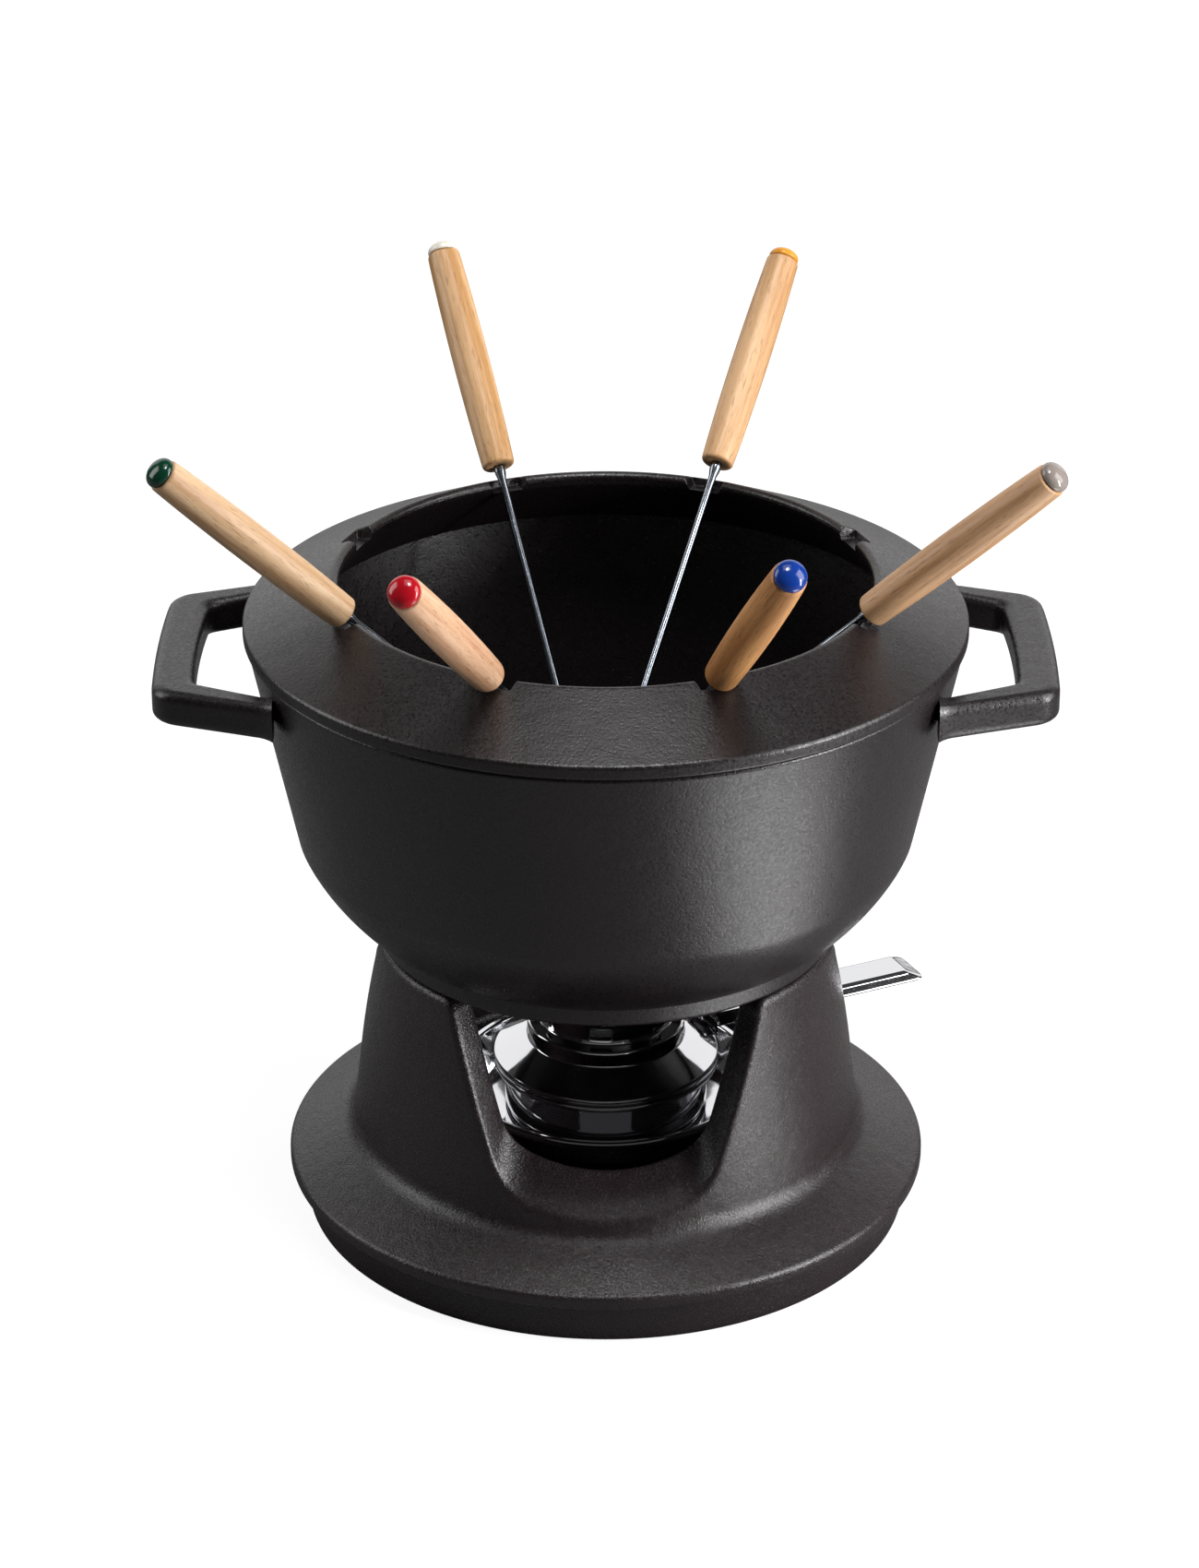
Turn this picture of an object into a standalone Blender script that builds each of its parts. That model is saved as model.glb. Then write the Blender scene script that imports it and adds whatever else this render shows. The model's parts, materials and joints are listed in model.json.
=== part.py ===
"""Fondue pot set: a cast pot on a cast stand, a splash ring, six forks and a spirit burner.

Lengths are metres and +Z is up. The origin is the centre of the stand's foot, on the table, and
the front of the set faces -Y. Azimuths are degrees about +Z, counted from +X.
"""

import math

import bmesh
import bpy
from mathutils import Matrix, Vector

# ---------------------------------------------------------------- shared clearances
SEAT_GAP = 0.0003  # between two pieces that rest on each other
RUN_GAP = 0.0004  # beside a piece that turns or slips into another
POT_FOOT_R = 0.0696  # the pot's foot ring, which the stand's pillars carry
STEPS_LARGE = 48  # facets round a casting
STEPS_SMALL = 30  # facets round a burner piece
STEPS_FORK = 10  # facets round a fork piece

# ---------------------------------------------------------------- stand
STAND_HEIGHT = 0.0922
STAND_FOOT_R = 0.0921
STAND_FOOT_HEIGHT = 0.0135
STAND_FOOT_WALL = 0.0065
FLANGE_OVERHANG = 0.0054
FLANGE_EDGE = 0.0043
BASE_SLOPE = math.radians(25.2)
BASE_SHELL = 0.0065
CONE_TOP_R = POT_FOOT_R + 0.0002
CONE_FOOT_R = CONE_TOP_R + 0.0078
CONE_FILLET = 0.007
PILLAR_WALL_TOP = 0.0095
PILLAR_WALL_FOOT = 0.0132
STAND_FLOOR_Z = 0.0285
STAND_FLOOR_T = 0.005

WINDOW_AZIMUTHS = (-90.0, 30.0, 150.0)
WINDOW_SILL_HALF = math.radians(21.0)  # azimuth of the straight sides at the outer sill's height
WINDOW_TOP_HALF = math.radians(41.0)  # azimuth of the straight sides at the pillars' tops
WINDOW_INNER_SILL_Z = 0.0423
WINDOW_OUTER_SILL_Z = 0.0300
WINDOW_CORNER = 0.0075
WINDOW_TOP_ROUND = 0.0050

# ---------------------------------------------------------------- pot
POT_BASE_Z = STAND_HEIGHT + SEAT_GAP
POT_HEIGHT = 0.0966
POT_RIM_R = 0.1054
POT_FOOT_HEIGHT = 0.0058
POT_FOOT_WALL = 0.0058
POT_FOOT_RECESS = 0.0030
POT_FLOOR_T = 0.0050
POT_WALL_FLOOR = 0.0045
POT_WALL_RIM = 0.0066
POT_BELLY_RISE = 0.0271  # height over which the rounded bottom turns into the flared side
POT_BELLY_SHARE = 0.47  # share of the widening that the rounded bottom makes
POT_BELLY_POWER = 1.40
POT_RIM_ROUND = 0.0010

GRIP_TOP_BELOW_RIM = 0.0051
GRIP_THICKNESS = 0.0109
GRIP_REACH = 0.0268  # from the pot's rim to the outside of the grip
GRIP_BAR = 0.0122  # width of the grip's outer bar
GRIP_BOW = 0.0012
GRIP_HALF_ROOT = 0.0470
GRIP_HALF_END = 0.0355
GRIP_LEG = 0.0076
GRIP_CORNER = 0.0070
GRIP_EDGE_ROUND = 0.0016

# ---------------------------------------------------------------- splash ring
RING_R = POT_RIM_R + 0.0011
RING_EDGE = 0.0040
RING_MOUTH_R = 0.0780
RING_RISE = 0.0126  # from the outer edge's top to the lip's top
RING_LIP = 0.0045
RING_SKIRT_DEPTH = 0.0030  # how far the locating skirt reaches below the pot's rim
RING_SKIRT_PLAY = 0.0009
RING_SKIRT_WALL = 0.0055
NOTCH_COUNT = 8
NOTCH_FIRST = 22.5
NOTCH_WIDTH = 0.0096
NOTCH_FLARE = 0.0014
NOTCH_REACH = 0.0046
NOTCH_DEPTH = 0.0042  # from the lip's top down to where a fork's rod rests

# ---------------------------------------------------------------- burner
SHEET = 0.0010
CUP_R = 0.0310
CUP_HEIGHT = 0.0155
TRAY_FOOT_R = CUP_R + 0.0085
TRAY_RIM_R = TRAY_FOOT_R + 0.0072
TRAY_HEIGHT = 0.0116
TRAY_BEAD = 0.0011
LIP_R = CUP_R + 0.0034
LIP_HEIGHT = 0.0019
NECK_R = 0.0203
SHOULDER_R = NECK_R + 0.0038
SHOULDER_RISE = 0.0060
STEP_HEIGHT = 0.0050
NECK_HEIGHT = 0.0075
PAD_HEIGHT = 0.0070
GAUZE_T = 0.0008
VENT_COUNT = 6
VENT_WIDTH = 0.0070
VENT_HEIGHT = 0.0036
BAR_AZIMUTH = 25.5
BAR_END_R = 0.1070
BAR_WIDTH = 0.0147
BAR_FLAT = 0.0096
BAR_DROP = 0.0022
BAR_TOP_Z = 0.0524
BAR_TAB_WIDTH = 0.0110

# ---------------------------------------------------------------- forks
FORK_EXPOSED = 0.1500  # from the handle's lower end to the tips
TIP_CLEARANCE = 0.0012  # least height of a fork's tip, on its axis, over the pot's floor
ROD_R = 0.0012
ROD_FLARE_R = 0.0017
ROD_FLARE_LENGTH = 0.0045
TANG_LENGTH = 0.0300
TINE_LENGTH = 0.0220
TINE_WIDTH = 0.0016
HEAD_WIDTH = 0.0056
HEAD_T = 0.0014
HANDLE_LENGTH = 0.0730
HANDLE_END_R = 0.0050
HANDLE_MID_R = 0.00565
CAP_R = HANDLE_END_R - 0.0004
CAP_DOME = 0.0036
CAP_STEM_R = 0.0020
CAP_STEM_LENGTH = 0.0050

# name, notch azimuth, swing of the rod from the notch's own direction, tilt from upright (degrees),
# sideways place in the notch and run of bare rod between the notch and the handle (metres)
FORKS = (
    ("green", 202.5, 0.6, 45.7, 0.0013, 0.0045),
    ("white", 112.5, -2.3, 44.9, 0.0013, 0.0065),
    ("orange", 67.5, -0.1, 49.3, -0.0018, 0.0081),
    ("grey", 337.5, -3.2, 46.6, -0.0006, 0.0054),
    ("red", 247.5, 1.2, 49.5, -0.0014, 0.0051),
    ("blue", 292.5, -4.4, 45.8, 0.0013, 0.0043),
)

# ---------------------------------------------------------------- colours (linear RGB)
ENAMEL = ("black_enamel", (0.018, 0.016, 0.017), 0.0, 0.42)
CHROME = ("polished_chrome", (0.62, 0.62, 0.63), 1.0, 0.08)
WADDING = ("mineral_wadding", (0.62, 0.60, 0.55), 0.0, 0.95)
GAUZE = ("steel_gauze", (0.42, 0.42, 0.43), 1.0, 0.40)
STEEL = ("fork_steel", (0.46, 0.46, 0.47), 1.0, 0.22)
WOOD = ("oiled_wood", (0.52, 0.31, 0.16), 0.0, 0.55)
CAP_COLOURS = {
    "green": (0.007, 0.060, 0.032),
    "white": (0.72, 0.68, 0.62),
    "orange": (0.72, 0.30, 0.04),
    "grey": (0.32, 0.29, 0.27),
    "red": (0.62, 0.010, 0.022),
    "blue": (0.012, 0.060, 0.34),
}


# ================================================================ tools
def clear_scene():
    """Removes every object, so that the model is the only thing in the file."""
    for old in list(bpy.data.objects):
        bpy.data.objects.remove(old, do_unlink=True)


def material(name, colour, metallic, roughness):
    """The Principled material of that name, made when it is first asked for."""
    made = bpy.data.materials.get(name)
    if made:
        return made
    made = bpy.data.materials.new(name)
    made.use_nodes = True
    shader = made.node_tree.nodes["Principled BSDF"]
    shader.inputs["Base Color"].default_value = (*colour, 1.0)
    shader.inputs["Metallic"].default_value = metallic
    shader.inputs["Roughness"].default_value = roughness
    return made


def add_object(name, shape, finish=None, parent=None):
    """Turns a bmesh into a named object. Without a finish it is a hidden cutter."""
    bmesh.ops.recalc_face_normals(shape, faces=shape.faces)
    mesh = bpy.data.meshes.new(name)
    shape.to_mesh(mesh)
    shape.free()
    return add_mesh_object(name, mesh, finish, parent)


def add_mesh_object(name, mesh, finish=None, parent=None):
    """Links an object that shows this mesh, shaded smooth on its round faces."""
    made = bpy.data.objects.new(name, mesh)
    bpy.context.scene.collection.objects.link(made)
    mesh.shade_smooth()
    mesh.set_sharp_from_angle(angle=math.radians(35))
    if finish:
        mesh.materials.clear()
        mesh.materials.append(material(*finish))
    else:
        made.hide_render = True
        made.display_type = "WIRE"
    made.parent = parent
    return made


def add_empty(name, matrix):
    """An empty that carries a group of pieces; its axes are the group's own."""
    empty = bpy.data.objects.new(name, None)
    bpy.context.scene.collection.objects.link(empty)
    empty.matrix_world = matrix
    return empty


def boolean(target, tool, operation):
    """Adds an exact Boolean with a hidden tool."""
    step = target.modifiers.new(f"{operation.lower()}_{tool.name}", "BOOLEAN")
    step.operation = operation
    step.object = tool
    step.solver = "EXACT"


def frozen_mesh(source, name):
    """The mesh of a model as its modifiers leave it, for copies to share; the model is removed."""
    graph = bpy.context.evaluated_depsgraph_get()
    mesh = bpy.data.meshes.new_from_object(source.evaluated_get(graph))
    mesh.name = name
    bpy.data.objects.remove(source, do_unlink=True)
    return mesh


def filleted(corners, arc_steps=4):
    """Replaces each corner (a, b, radius) of a closed outline by an arc of that radius."""
    outline = []
    count = len(corners)
    for index, (a, b, radius) in enumerate(corners):
        here = Vector((a, b))
        if radius == 0:
            outline.append((a, b))
            continue
        before = (Vector(corners[index - 1][:2]) - here).normalized()
        after = (Vector(corners[(index + 1) % count][:2]) - here).normalized()
        half = before.angle(after) / 2
        centre = here + (before + after).normalized() * radius / math.sin(half)
        start = here + before * radius / math.tan(half) - centre
        end = here + after * radius / math.tan(half) - centre
        sweep = start.angle_signed(end)
        for step in range(arc_steps + 1):
            turn = -sweep * step / arc_steps
            point = centre + Matrix.Rotation(turn, 2) @ start
            outline.append((point.x, point.y))
    return outline


def turned_shape(outline, steps):
    """Turns a closed (radius, height) outline about Z into a closed shape."""
    shape = bmesh.new()
    verts = [shape.verts.new((radius, 0.0, height)) for radius, height in outline]
    edges = []
    for first, second in zip(verts, verts[1:] + verts[:1]):
        if first.co.x > 1e-7 or second.co.x > 1e-7:
            edges.append(shape.edges.new((first, second)))
    bmesh.ops.spin(
        shape,
        geom=verts + edges,
        cent=(0, 0, 0),
        axis=(0, 0, 1),
        angle=math.tau,
        steps=steps,
        use_merge=True,
    )
    bmesh.ops.remove_doubles(shape, verts=shape.verts, dist=1e-6)
    return shape


def turned(name, outline, steps, finish=None, parent=None):
    """A turned piece."""
    return add_object(name, turned_shape(outline, steps), finish, parent)


def lofted_shape(sections):
    """Joins closed loops of equally many points, in order, and caps both ends."""
    shape = bmesh.new()
    rings = [[shape.verts.new(point) for point in section] for section in sections]
    count = len(rings[0])
    for lower, upper in zip(rings, rings[1:]):
        for index in range(count):
            after = (index + 1) % count
            shape.faces.new((lower[index], lower[after], upper[after], upper[index]))
    shape.faces.new(rings[0])
    shape.faces.new(rings[-1])
    return shape


def prism(name, outline, low, high, finish=None, parent=None):
    """An (x, y) outline carried from one height to another."""
    sections = [[(x, y, z) for x, y in outline] for z in (low, high)]
    return add_object(name, lofted_shape(sections), finish, parent)


def z_turn(degrees):
    """A turn about the set's upright axis."""
    return Matrix.Rotation(math.radians(degrees), 4, "Z")


# ================================================================ stand
def cone_r(height):
    """Outer radius of the stand's cone at a height."""
    share = (height - STAND_FLOOR_Z) / (STAND_HEIGHT - STAND_FLOOR_Z)
    return CONE_FOOT_R + (CONE_TOP_R - CONE_FOOT_R) * share


def window_section(radius, sill_z, corner):
    """Closed outline of a window at one distance from the axis, as (sideways, height) points.

    The sides are straight lines between two azimuths, the sill's corners are round, and the
    sides flare at the top, so that the pillars' top corners come out round.
    """
    top = STAND_HEIGHT
    span = top - WINDOW_OUTER_SILL_Z
    slope = (WINDOW_TOP_HALF - WINDOW_SILL_HALF) / span

    def half_width(height):
        return radius * math.tan(WINDOW_SILL_HALF + slope * (height - WINDOW_OUTER_SILL_Z))

    side = filleted(
        [
            (0.0, sill_z, 0),
            (half_width(sill_z), sill_z, corner),
            (half_width(top - WINDOW_TOP_ROUND), top - WINDOW_TOP_ROUND, 0),
            (0.0, top, 0),
        ],
        arc_steps=4,
    )[1:-1]
    edge = half_width(top - WINDOW_TOP_ROUND)
    for step in range(1, 4):
        turn = math.radians(90) * step / 3
        side.append(
            (
                edge + WINDOW_TOP_ROUND * (1 - math.cos(turn)),
                top - WINDOW_TOP_ROUND + WINDOW_TOP_ROUND * math.sin(turn),
            )
        )
    side.append((side[-1][0] + 0.0002, top + 0.004))
    return side + [(-x, z) for x, z in reversed(side)]


def window_cutter(azimuth):
    """One window, lofted outwards; its sill drops from the inside to the outside."""
    inner_r = cone_r(WINDOW_INNER_SILL_Z) - PILLAR_WALL_FOOT
    outer_r = CONE_FOOT_R - 0.0022
    fall = (WINDOW_OUTER_SILL_Z - WINDOW_INNER_SILL_Z) / (outer_r - inner_r)
    places = (
        (inner_r * 0.72, WINDOW_INNER_SILL_Z - fall * inner_r * 0.28),
        (outer_r, WINDOW_OUTER_SILL_Z),
        (outer_r * 1.25, WINDOW_OUTER_SILL_Z),
    )
    sections = []
    for radius, sill_z in places:
        outline = window_section(radius, sill_z, WINDOW_CORNER * radius / outer_r)
        sections.append([(radius, across, height) for across, height in outline])
    cutter = add_object(f"window_tool_{azimuth:.0f}", lofted_shape(sections))
    cutter.matrix_world = z_turn(azimuth)
    return cutter


def make_stand():
    """One casting: foot ring, sloping base, cone with three windows, and the burner's floor."""
    flange_r = STAND_FOOT_R + FLANGE_OVERHANG
    flange_top = STAND_FOOT_HEIGHT + FLANGE_EDGE
    rise = math.tan(BASE_SLOPE)
    cone_foot_z = flange_top + (flange_r - CONE_FOOT_R) * rise
    foot_in_r = STAND_FOOT_R - STAND_FOOT_WALL
    floor_under = STAND_FLOOR_Z - STAND_FLOOR_T
    under_r = CONE_FOOT_R - PILLAR_WALL_FOOT
    under_z = flange_top + (flange_r - foot_in_r) * rise - BASE_SHELL
    outline = filleted(
        [
            (0.0, floor_under, 0),
            (under_r - 0.004, floor_under, 0.003),
            (foot_in_r, under_z, 0.002),
            (foot_in_r, 0.0, 0),
            (STAND_FOOT_R, 0.0, 0.0012),
            (STAND_FOOT_R, STAND_FOOT_HEIGHT, 0.0010),
            (flange_r, STAND_FOOT_HEIGHT, 0.0012),
            (flange_r, flange_top, 0.0016),
            (CONE_FOOT_R, cone_foot_z, CONE_FILLET),
            (CONE_TOP_R, STAND_HEIGHT, 0.0010),
            (CONE_TOP_R - PILLAR_WALL_TOP, STAND_HEIGHT, 0.0010),
            (under_r, STAND_FLOOR_Z, 0.003),
            (0.0, STAND_FLOOR_Z, 0),
        ],
        arc_steps=2,
    )
    stand = turned("stand_casting", outline, STEPS_LARGE, ENAMEL)
    for azimuth in WINDOW_AZIMUTHS:
        boolean(stand, window_cutter(azimuth), "DIFFERENCE")


# ================================================================ pot
def belly(share, rise):
    """How far a rounded, then flared side has opened, 0 to 1, at a share of its height.

    A superellipse quarter makes the rounded bottom and a straight line the flare above it.
    """
    turn = min(share / rise, 1.0)
    power = POT_BELLY_POWER
    quarter = (1 - (1 - turn) ** power) ** (1 / power)
    return POT_BELLY_SHARE * quarter + (1 - POT_BELLY_SHARE) * share


def side_r(share, low_r, low_z, high_r, high_z):
    """Radius of a side of the pot at a share of its height."""
    rise = POT_BELLY_RISE / (high_z - low_z)
    return low_r + (high_r - low_r) * belly(share, rise)


def side_points(low_r, low_z, high_r, high_z, count):
    """Points up a side of the pot, closer together on the rounded bottom."""
    points = []
    for index in range(count + 1):
        share = (index / count) ** 2.1
        radius = side_r(share, low_r, low_z, high_r, high_z)
        points.append((radius, low_z + (high_z - low_z) * share))
    return points


def cavity_ends():
    """Radius and height of the pot's inside, at its floor and at its rim."""
    floor_z = POT_BASE_Z + POT_FOOT_RECESS + POT_FLOOR_T
    rim_z = POT_BASE_Z + POT_HEIGHT
    return POT_FOOT_R - POT_WALL_FLOOR, floor_z, POT_RIM_R - POT_WALL_RIM, rim_z


def cavity_r(height):
    """Radius of the pot's inside at a height."""
    low_r, low_z, high_r, high_z = cavity_ends()
    return side_r((height - low_z) / (high_z - low_z), low_r, low_z, high_r, high_z)


def grip_outline():
    """The right grip's outside and its finger opening, as two (x, y) outlines."""
    root_x = POT_RIM_R - 0.0125
    end_x = POT_RIM_R + GRIP_REACH
    outside = filleted(
        [
            (root_x, -GRIP_HALF_ROOT, 0),
            (end_x - GRIP_BOW, -GRIP_HALF_END, GRIP_CORNER),
            (end_x, 0.0, 0),
            (end_x - GRIP_BOW, GRIP_HALF_END, GRIP_CORNER),
            (root_x, GRIP_HALF_ROOT, 0),
        ]
    )
    inner_x = end_x - GRIP_BAR
    finger = filleted(
        [
            (root_x, -(GRIP_HALF_ROOT - GRIP_LEG), 0),
            (inner_x - GRIP_BOW, -(GRIP_HALF_END - GRIP_LEG), GRIP_CORNER * 0.6),
            (inner_x, 0.0, 0),
            (inner_x - GRIP_BOW, GRIP_HALF_END - GRIP_LEG, GRIP_CORNER * 0.6),
            (root_x, GRIP_HALF_ROOT - GRIP_LEG, 0),
        ]
    )
    return outside, finger


def make_grip(side):
    """One loop grip as a hidden tool that the pot is joined with."""
    outside, finger = grip_outline()
    top = POT_BASE_Z + POT_HEIGHT - GRIP_TOP_BELOW_RIM
    low = top - GRIP_THICKNESS
    name = "right" if side > 0 else "left"
    grip = prism(f"grip_tool_{name}", outside, low, top)
    hole = prism(f"finger_tool_{name}", finger, low - 0.01, top + 0.01)
    turn = z_turn(0 if side > 0 else 180)
    grip.matrix_world = turn
    hole.matrix_world = turn
    boolean(grip, hole, "DIFFERENCE")
    rounding = grip.modifiers.new("rounded_edges", "BEVEL")
    rounding.width = GRIP_EDGE_ROUND
    rounding.segments = 2
    rounding.limit_method = "ANGLE"
    rounding.angle_limit = math.radians(50)
    return grip


def make_pot():
    """One casting: foot ring, rounded belly, rim and two loop grips."""
    base = POT_BASE_Z
    rim_z = base + POT_HEIGHT
    side_low_z = base + POT_FOOT_HEIGHT
    side = side_points(POT_FOOT_R, side_low_z, POT_RIM_R, rim_z - POT_RIM_ROUND, 10)
    outline = [
        (0.0, base + POT_FOOT_RECESS),
        (POT_FOOT_R - POT_FOOT_WALL, base + POT_FOOT_RECESS),
        (POT_FOOT_R - POT_FOOT_WALL, base),
        (POT_FOOT_R, base),
        *side,
        (POT_RIM_R - POT_RIM_ROUND, rim_z),
        (0.0, rim_z),
    ]
    pot = turned("pot_casting", outline, STEPS_LARGE, ENAMEL)

    _, floor_z, inner_rim_r, _ = cavity_ends()
    cavity_outline = [
        (0.0, floor_z),
        *side_points(*cavity_ends(), 9),
        (inner_rim_r, rim_z + 0.004),
        (0.0, rim_z + 0.004),
    ]
    cavity = turned("cavity_tool", cavity_outline, STEPS_LARGE)
    for side_sign in (1, -1):
        boolean(pot, make_grip(side_sign), "UNION")
    boolean(pot, cavity, "DIFFERENCE")


# ================================================================ splash ring
def ring_levels():
    """Heights of the ring's seat, outer edge, lip and notch floor."""
    seat = POT_BASE_Z + POT_HEIGHT + SEAT_GAP
    edge_top = seat + RING_EDGE
    lip_top = edge_top + RING_RISE
    return seat, edge_top, lip_top, lip_top - NOTCH_DEPTH


def notch_cutter(azimuth):
    """One fork notch: a radial slot with flared sides, open at the top."""
    _, _, lip_top, floor = ring_levels()
    low_half = NOTCH_WIDTH / 2
    high_half = low_half + NOTCH_FLARE
    sections = []
    for radius in (RING_MOUTH_R - 0.012, RING_MOUTH_R + NOTCH_REACH):
        sections.append(
            [
                (radius, -low_half, floor),
                (radius, low_half, floor),
                (radius, high_half, lip_top + 0.003),
                (radius, -high_half, lip_top + 0.003),
            ]
        )
    cutter = add_object(f"notch_tool_{azimuth:.0f}", lofted_shape(sections))
    cutter.matrix_world = z_turn(azimuth)
    return cutter


def make_ring():
    """One casting that covers the pot's rim; a skirt centres it and notches hold the forks."""
    seat, edge_top, lip_top, _ = ring_levels()
    skirt_z = seat - SEAT_GAP - RING_SKIRT_DEPTH
    skirt_r = cavity_r(skirt_z) - RING_SKIRT_PLAY
    outline = filleted(
        [
            (RING_R, seat, 0.0008),
            (RING_R, edge_top, 0.0012),
            (RING_MOUTH_R + 0.0012, lip_top, 0.0014),
            (RING_MOUTH_R, lip_top - RING_LIP / 2, 0),
            (RING_MOUTH_R + 0.0010, lip_top - RING_LIP, 0.0010),
            (skirt_r - RING_SKIRT_WALL, skirt_z, 0.0010),
            (skirt_r, skirt_z, 0.0006),
            (skirt_r, seat, 0),
        ],
        arc_steps=2,
    )
    ring = turned("splash_ring", outline, STEPS_LARGE, ENAMEL)
    for index in range(NOTCH_COUNT):
        azimuth = NOTCH_FIRST + 360.0 * index / NOTCH_COUNT
        boolean(ring, notch_cutter(azimuth), "DIFFERENCE")


# ================================================================ burner
def burner_levels():
    """Heights that the burner's pieces share, from the stand's floor up."""
    levels = {"tray": STAND_FLOOR_Z + SEAT_GAP}
    levels["tray_rim"] = levels["tray"] + TRAY_HEIGHT
    levels["cup"] = levels["tray"] + SHEET + SEAT_GAP
    levels["cup_rim"] = levels["cup"] + CUP_HEIGHT
    levels["pad"] = levels["cup"] + SHEET + SEAT_GAP
    levels["gauze"] = levels["pad"] + PAD_HEIGHT + SEAT_GAP
    levels["sleeve"] = levels["gauze"] + GAUZE_T + SEAT_GAP
    levels["lip"] = levels["cup_rim"] + SEAT_GAP
    levels["shoulder"] = levels["lip"] + LIP_HEIGHT
    levels["step"] = levels["shoulder"] + SHOULDER_RISE
    levels["neck"] = levels["step"] + STEP_HEIGHT
    levels["top"] = levels["neck"] + NECK_HEIGHT
    return levels


def make_tray(levels):
    """Shallow pressed dish with a beaded rim; it stands on the stand's floor."""
    low, rim = levels["tray"], levels["tray_rim"]
    outline = filleted(
        [
            (0.0, low, 0),
            (TRAY_FOOT_R, low, 0.0015),
            (TRAY_RIM_R - TRAY_BEAD, rim - 2 * TRAY_BEAD, 0),
            (TRAY_RIM_R, rim - 1.6 * TRAY_BEAD, 0),
            (TRAY_RIM_R, rim, 0.0006),
            (TRAY_RIM_R - 2 * TRAY_BEAD, rim, 0.0006),
            (TRAY_FOOT_R - SHEET, low + SHEET, 0.0012),
            (0.0, low + SHEET, 0),
        ],
        arc_steps=1,
    )
    turned("burner_tray", outline, STEPS_SMALL, CHROME)


def make_cup(levels):
    """Fuel cup with a rim rolled out to the width of the regulator's lip."""
    low, rim = levels["cup"], levels["cup_rim"]
    outline = filleted(
        [
            (0.0, low, 0),
            (CUP_R, low, 0.0015),
            (CUP_R, rim - LIP_HEIGHT, 0),
            (LIP_R, rim - LIP_HEIGHT, 0.0006),
            (LIP_R, rim, 0.0006),
            (CUP_R - SHEET, rim, 0),
            (CUP_R - SHEET, low + SHEET, 0.0010),
            (0.0, low + SHEET, 0),
        ],
        arc_steps=1,
    )
    turned("fuel_cup", outline, STEPS_SMALL, CHROME)


def make_wick(levels):
    """Absorbent pad in the cup, and the wire gauze that keeps it down."""
    pad_r = CUP_R - SHEET - 4 * RUN_GAP
    pad = [
        (0.0, levels["pad"], 0),
        (pad_r, levels["pad"], 0.0006),
        (pad_r, levels["pad"] + PAD_HEIGHT, 0.0006),
        (0.0, levels["pad"] + PAD_HEIGHT, 0),
    ]
    turned("wick_pad", filleted(pad, 1), STEPS_SMALL, WADDING)
    gauze = [
        (0.0, levels["gauze"]),
        (pad_r, levels["gauze"]),
        (pad_r, levels["gauze"] + GAUZE_T),
        (0.0, levels["gauze"] + GAUZE_T),
    ]
    turned("gauze_disc", gauze, STEPS_SMALL, GAUZE)


def vent_cutter(name, neck_top):
    """Six radial slots through a neck, as one tool."""
    shape = bmesh.new()
    middle = neck_top - NECK_HEIGHT * 0.48
    for index in range(VENT_COUNT):
        place = z_turn(BAR_AZIMUTH + 360.0 * index / VENT_COUNT) @ Matrix.Translation(
            (NECK_R, 0.0, middle)
        )
        size = Matrix.Diagonal((NECK_R * 0.5, VENT_WIDTH, VENT_HEIGHT, 1.0))
        bmesh.ops.create_cube(shape, size=1.0, matrix=place @ size)
    return add_object(name, shape)


def make_vent_sleeve(levels):
    """Fixed inner sleeve: a skirt in the cup, a flange on its rim and a slotted neck."""
    skirt_r = CUP_R - SHEET - RUN_GAP
    flange_r = LIP_R - 2 * SHEET
    flange_top = levels["lip"] + 0.8 * SHEET
    step_r = SHOULDER_R - SHEET - RUN_GAP
    neck_r = NECK_R - SHEET - RUN_GAP
    step_z = levels["step"] - SHEET
    neck_z = levels["neck"] - 1.6 * SHEET
    top = levels["top"] - SHEET
    outline = [
        (skirt_r - SHEET, levels["sleeve"]),
        (skirt_r, levels["sleeve"]),
        (skirt_r, levels["lip"]),
        (flange_r, levels["lip"]),
        (flange_r, flange_top),
        (step_r, step_z - 0.3 * SHEET),
        (step_r, neck_z),
        (neck_r, neck_z + 0.4 * SHEET),
        (neck_r, top),
        (neck_r - SHEET, top),
        (neck_r - SHEET, neck_z - 0.6 * SHEET),
        (step_r - SHEET, neck_z - SHEET),
        (step_r - SHEET, step_z - 0.9 * SHEET),
        (skirt_r - SHEET, levels["lip"] + 0.2 * SHEET),
    ]
    sleeve = turned("vent_sleeve", outline, STEPS_SMALL, CHROME)
    boolean(sleeve, vent_cutter("sleeve_vent_tool", levels["top"]), "DIFFERENCE")


def make_regulator(levels, parent):
    """Outer cover that turns on the cup's rim, so that its slots open and close the vents."""
    outline = filleted(
        [
            (LIP_R - 1.4 * SHEET, levels["lip"], 0),
            (LIP_R, levels["lip"], 0.0006),
            (LIP_R, levels["shoulder"], 0.0006),
            (SHOULDER_R, levels["step"], 0),
            (SHOULDER_R, levels["neck"], 0.0006),
            (NECK_R, levels["neck"] + SHEET, 0),
            (NECK_R, levels["top"], 0),
            (NECK_R - SHEET, levels["top"], 0),
            (NECK_R - SHEET, levels["neck"], 0),
            (SHOULDER_R - SHEET, levels["neck"] - 0.8 * SHEET, 0),
            (SHOULDER_R - SHEET, levels["step"] - 0.6 * SHEET, 0),
            (LIP_R - 1.4 * SHEET, levels["lip"] + 1.1 * SHEET, 0),
        ],
        arc_steps=1,
    )
    cover = turned("regulator_cover", outline, STEPS_SMALL, CHROME, parent)
    boolean(cover, vent_cutter("cover_vent_tool", levels["top"]), "DIFFERENCE")


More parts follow.
